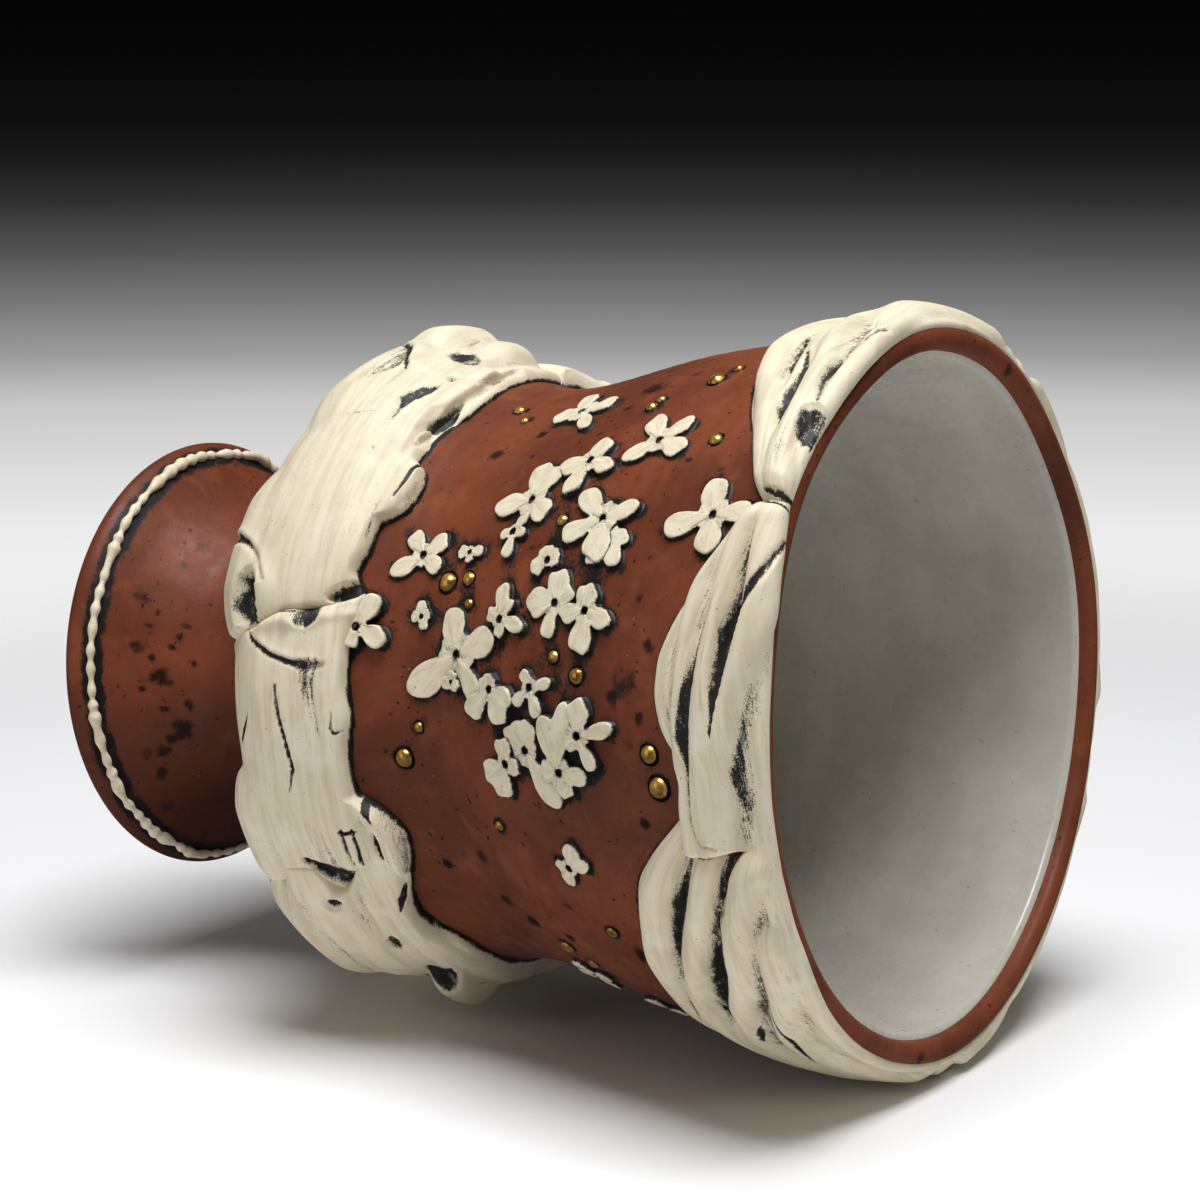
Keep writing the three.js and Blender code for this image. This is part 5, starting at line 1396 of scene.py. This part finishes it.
# One pressed sprig, ring by ring from its outline to the pierced hole
def sprig_grid(angle, height, raised, petals):
    swing = all_round(SPRIG_SIDES)
    uneven = sum(np.sin(count * swing + start) for count, start in zip(SPRIG_LOBES, (angle, height, 0)))
    reach = sprig_reach(swing, petals) * (1 + SPRIG_UNEVEN * uneven)
    longest = max(length for _, length, _ in petals)
    small = min(1, longest / SPRIG_SMALL)
    notch = unit(1 - (reach - reach.min()) / (longest - reach.min())) ** 2
    way = np.stack([np.cos(swing), np.sin(swing)], axis=-1)
    outline = reach[:, None] * way
    tangent = np.roll(outline, -1, axis=0) - np.roll(outline, 1, axis=0)
    normal = np.stack([tangent[:, 1], -tangent[:, 0]], axis=-1) / np.linalg.norm(tangent, axis=1)[:, None]
    hole = HOLE_RADIUS * small * way
    edge = [outline - small * inwards * normal for inwards, _, _ in EDGE_RINGS]
    top = [edge[-1] + (hole - edge[-1]) * share for share, _, _ in TOP_RINGS]
    spot = np.array([*edge, *top, *(hole * share for share, _, _ in HOLE_RINGS)])
    _, rise, wash_and_shade = (np.array(part)[:, None] for part in zip(*EDGE_RINGS, *TOP_RINGS, *HOLE_RINGS))
    x, y = spot[..., 0], spot[..., 1]
    stand = SPRIG_HEIGHT * rise * (1 - SPRIG_NOTCH * notch) + raised * unit(rise)
    across, up = SPRIG_DIMPLE_WAVES
    dimples = SPRIG_DIMPLE * np.sin(across * x + angle) * np.sin(up * y + height)
    stand = stand + dimples * (rise > SPRIG_TOP)
    apart = np.hypot(x, y)
    smudge = SPRIG_SMUDGE * unit(1 - apart / SPRIG_SMUDGE_REACH)
    streaks = SPRIG_STREAKS * way[None] + 0 * spot
    flow = np.stack([apart + angle, streaks[..., 0], streaks[..., 1]], axis=-1)
    points = on_wall(angle + np.degrees(x / float(wall_radius(height))), height + y, stand)
    layers = {"wash_and_shade": np.maximum(wash_and_shade + SPRIG_NOTCH_WASH * notch, smudge), "flow": flow}
    return points, grid_faces(len(spot), SPRIG_SIDES, False, True), layers


for k, cluster in enumerate(SPRIGS, 1):
    grids = [sprig_grid(*sprig) for sprig in cluster]
    petals = add_object(f"petals_{k:02}", grids, porcelains["sprig_porcelain"])
    dress(petals, f"sprig_{k:02}")


# One gold dot
def dot_grid(at, up, share):
    level = field_level(up)
    radius = share * DOT_RADIUS
    swing = all_round(DOT_SIDES)
    out, rise, wash_and_shade = (np.array(part)[:, None] + 0 * swing for part in zip(*DOT_RINGS))
    out = radius * out * (1 + DOT_WOBBLE * np.sin(DOT_LOBES * swing + at))
    angle = at + np.degrees(out * np.cos(swing) / float(wall_radius(level)))
    points = on_wall(angle, level + out * np.sin(swing), DOT_RISE * radius * rise)
    return points, grid_faces(len(DOT_RINGS), DOT_SIDES, False, True)[:, ::-1], {"wash_and_shade": wash_and_shade}


for k, dot in enumerate(GOLD_DOTS, 1):
    dress(add_object(f"dot_{k:02}", [dot_grid(*dot)], gold_lustre), f"gold_dot_{k:02}")
dress(add_object("gold_specks", [dot_grid(*speck) for speck in GOLD_SPECKS], gold_lustre))


def add_camera():
    data = bpy.data.cameras.new("camera")
    data.lens = CAMERA_LENS
    data.sensor_width = CAMERA_SENSOR
    camera = bpy.data.objects.new("camera", data)
    bpy.context.scene.collection.objects.link(camera)
    at = Vector(CAMERA_AT) * MM
    forward = (Vector(CAMERA_TARGET) * MM - at).normalized()
    right = forward.cross(Vector(CAMERA_UP)).normalized()
    up = right.cross(forward)
    camera.matrix_world = Matrix.Translation(at) @ Matrix((right, up, -forward)).transposed().to_4x4()
    bpy.context.scene.camera = camera
    return forward, up


bpy.context.scene.view_settings.view_transform = "Standard"
camera_forward, camera_up = add_camera()
pitch = math.radians(TABLE_PITCH)
table_normal = (camera_up * math.cos(pitch) - camera_forward * math.sin(pitch)).normalized()
table_far = (camera_forward - table_normal * camera_forward.dot(table_normal)).normalized()
table_side = table_far.cross(table_normal).normalized()


# The table's material: seen from its upper side only, and fading out into the background
def table_material():
    material, tree, shader = new_material("table")
    tree.nodes.remove(shader)
    white = shader_node(tree, "ShaderNodeBsdfDiffuse", {"Color": TABLE_WHITE}).outputs[0]
    clear = shader_node(tree, "ShaderNodeBsdfTransparent", {}).outputs[0]
    path = shader_node(tree, "ShaderNodeLightPath", {})
    seen = calc(tree, "MAXIMUM", path.outputs["Is Camera Ray"], path.outputs["Is Diffuse Ray"])
    front = calc(tree, "SUBTRACT", 1, shader_node(tree, "ShaderNodeNewGeometry", {}).outputs["Backfacing"])
    shown = calc(tree, "MULTIPLY", seen, front)
    shown = calc(tree, "MULTIPLY", shown, ramp(tree, attribute(tree, "fade"), 0, 1))
    surface = shader_node(tree, "ShaderNodeMixShader", {0: shown, 1: clear, 2: white}).outputs[0]
    tree.links.new(surface, tree.nodes["Material Output"].inputs["Surface"])
    return material


def add_table():
    share = np.linspace(TABLE_HOLE, 1, TABLE_RINGS)
    swing = all_round(TABLE_SIDES)
    side, far = np.array(table_side), np.array(table_far)
    out = share[:, None, None] * TABLE_RADIUS
    points = np.array(TABLE_CONTACT) + out * (np.cos(swing)[:, None] * side + np.sin(swing)[:, None] * far)
    fade = np.repeat(unit((1 - share) / TABLE_FADE)[:, None], TABLE_SIDES, axis=1)
    faces = grid_faces(TABLE_RINGS, TABLE_SIDES, False, True)
    table = add_object("table", [(points, faces, {"fade": fade})], table_material())


add_table()


def add_lamp(name, direction, distance, size, power, colour):
    data = bpy.data.lights.new(name, "AREA")
    data.size = size * MM
    data.energy = power
    data.color = colour
    lamp = bpy.data.objects.new(name, data)
    bpy.context.scene.collection.objects.link(lamp)
    centre = Vector((0, 0, LAMP_TARGET * CUP_HEIGHT)) * MM
    way = Vector(direction).normalized()
    lamp.location = centre + way * distance * MM
    lamp.rotation_mode = "QUATERNION"
    lamp.rotation_quaternion = way.to_track_quat("Z", "Y")


for lamp in LAMPS:
    add_lamp(*lamp)


# The world: an even grey light, and for the camera a pale backdrop that darkens upwards behind the cup, a
# painted fall-off of light
def add_world():
    world = bpy.data.worlds.new("world")
    bpy.context.scene.world = world
    world.use_nodes = True
    tree = world.node_tree
    way = coordinates(tree, "Generated")
    low, high = BACKDROP[0][0], BACKDROP[-1][0]
    level = vector_calc(tree, "DOT_PRODUCT", way, table_normal, "Value")
    colours = shader_node(tree, "ShaderNodeValToRGB", {0: ramp(tree, level, low, high, easing="LINEAR")})
    stops = colours.color_ramp.elements
    while len(stops) < len(BACKDROP):
        stops.new(0.5)
    for stop, (at, tone) in zip(stops, BACKDROP):
        stop.position = (at - low) / (high - low)
        stop.color = rgb(tone, tone, tone)
    tilt = math.radians(BACKDROP_TILT)
    middle = camera_forward * math.cos(tilt) + camera_up * math.sin(tilt)
    toward = vector_calc(tree, "DOT_PRODUCT", way, middle, "Value")
    inner, outer = (math.cos(math.radians(wide)) for wide in BACKDROP_WIDE)
    palest = BACKDROP[0][1]
    backdrop = mixed(tree, ramp(tree, toward, outer, inner), rgb(palest, palest, palest), colours.outputs[0])
    seen = shader_node(tree, "ShaderNodeLightPath", {}).outputs["Is Camera Ray"]
    colour = mixed(tree, seen, WORLD_GREY, backdrop)
    tree.links.new(colour, tree.nodes["Background"].inputs["Color"])


add_world()
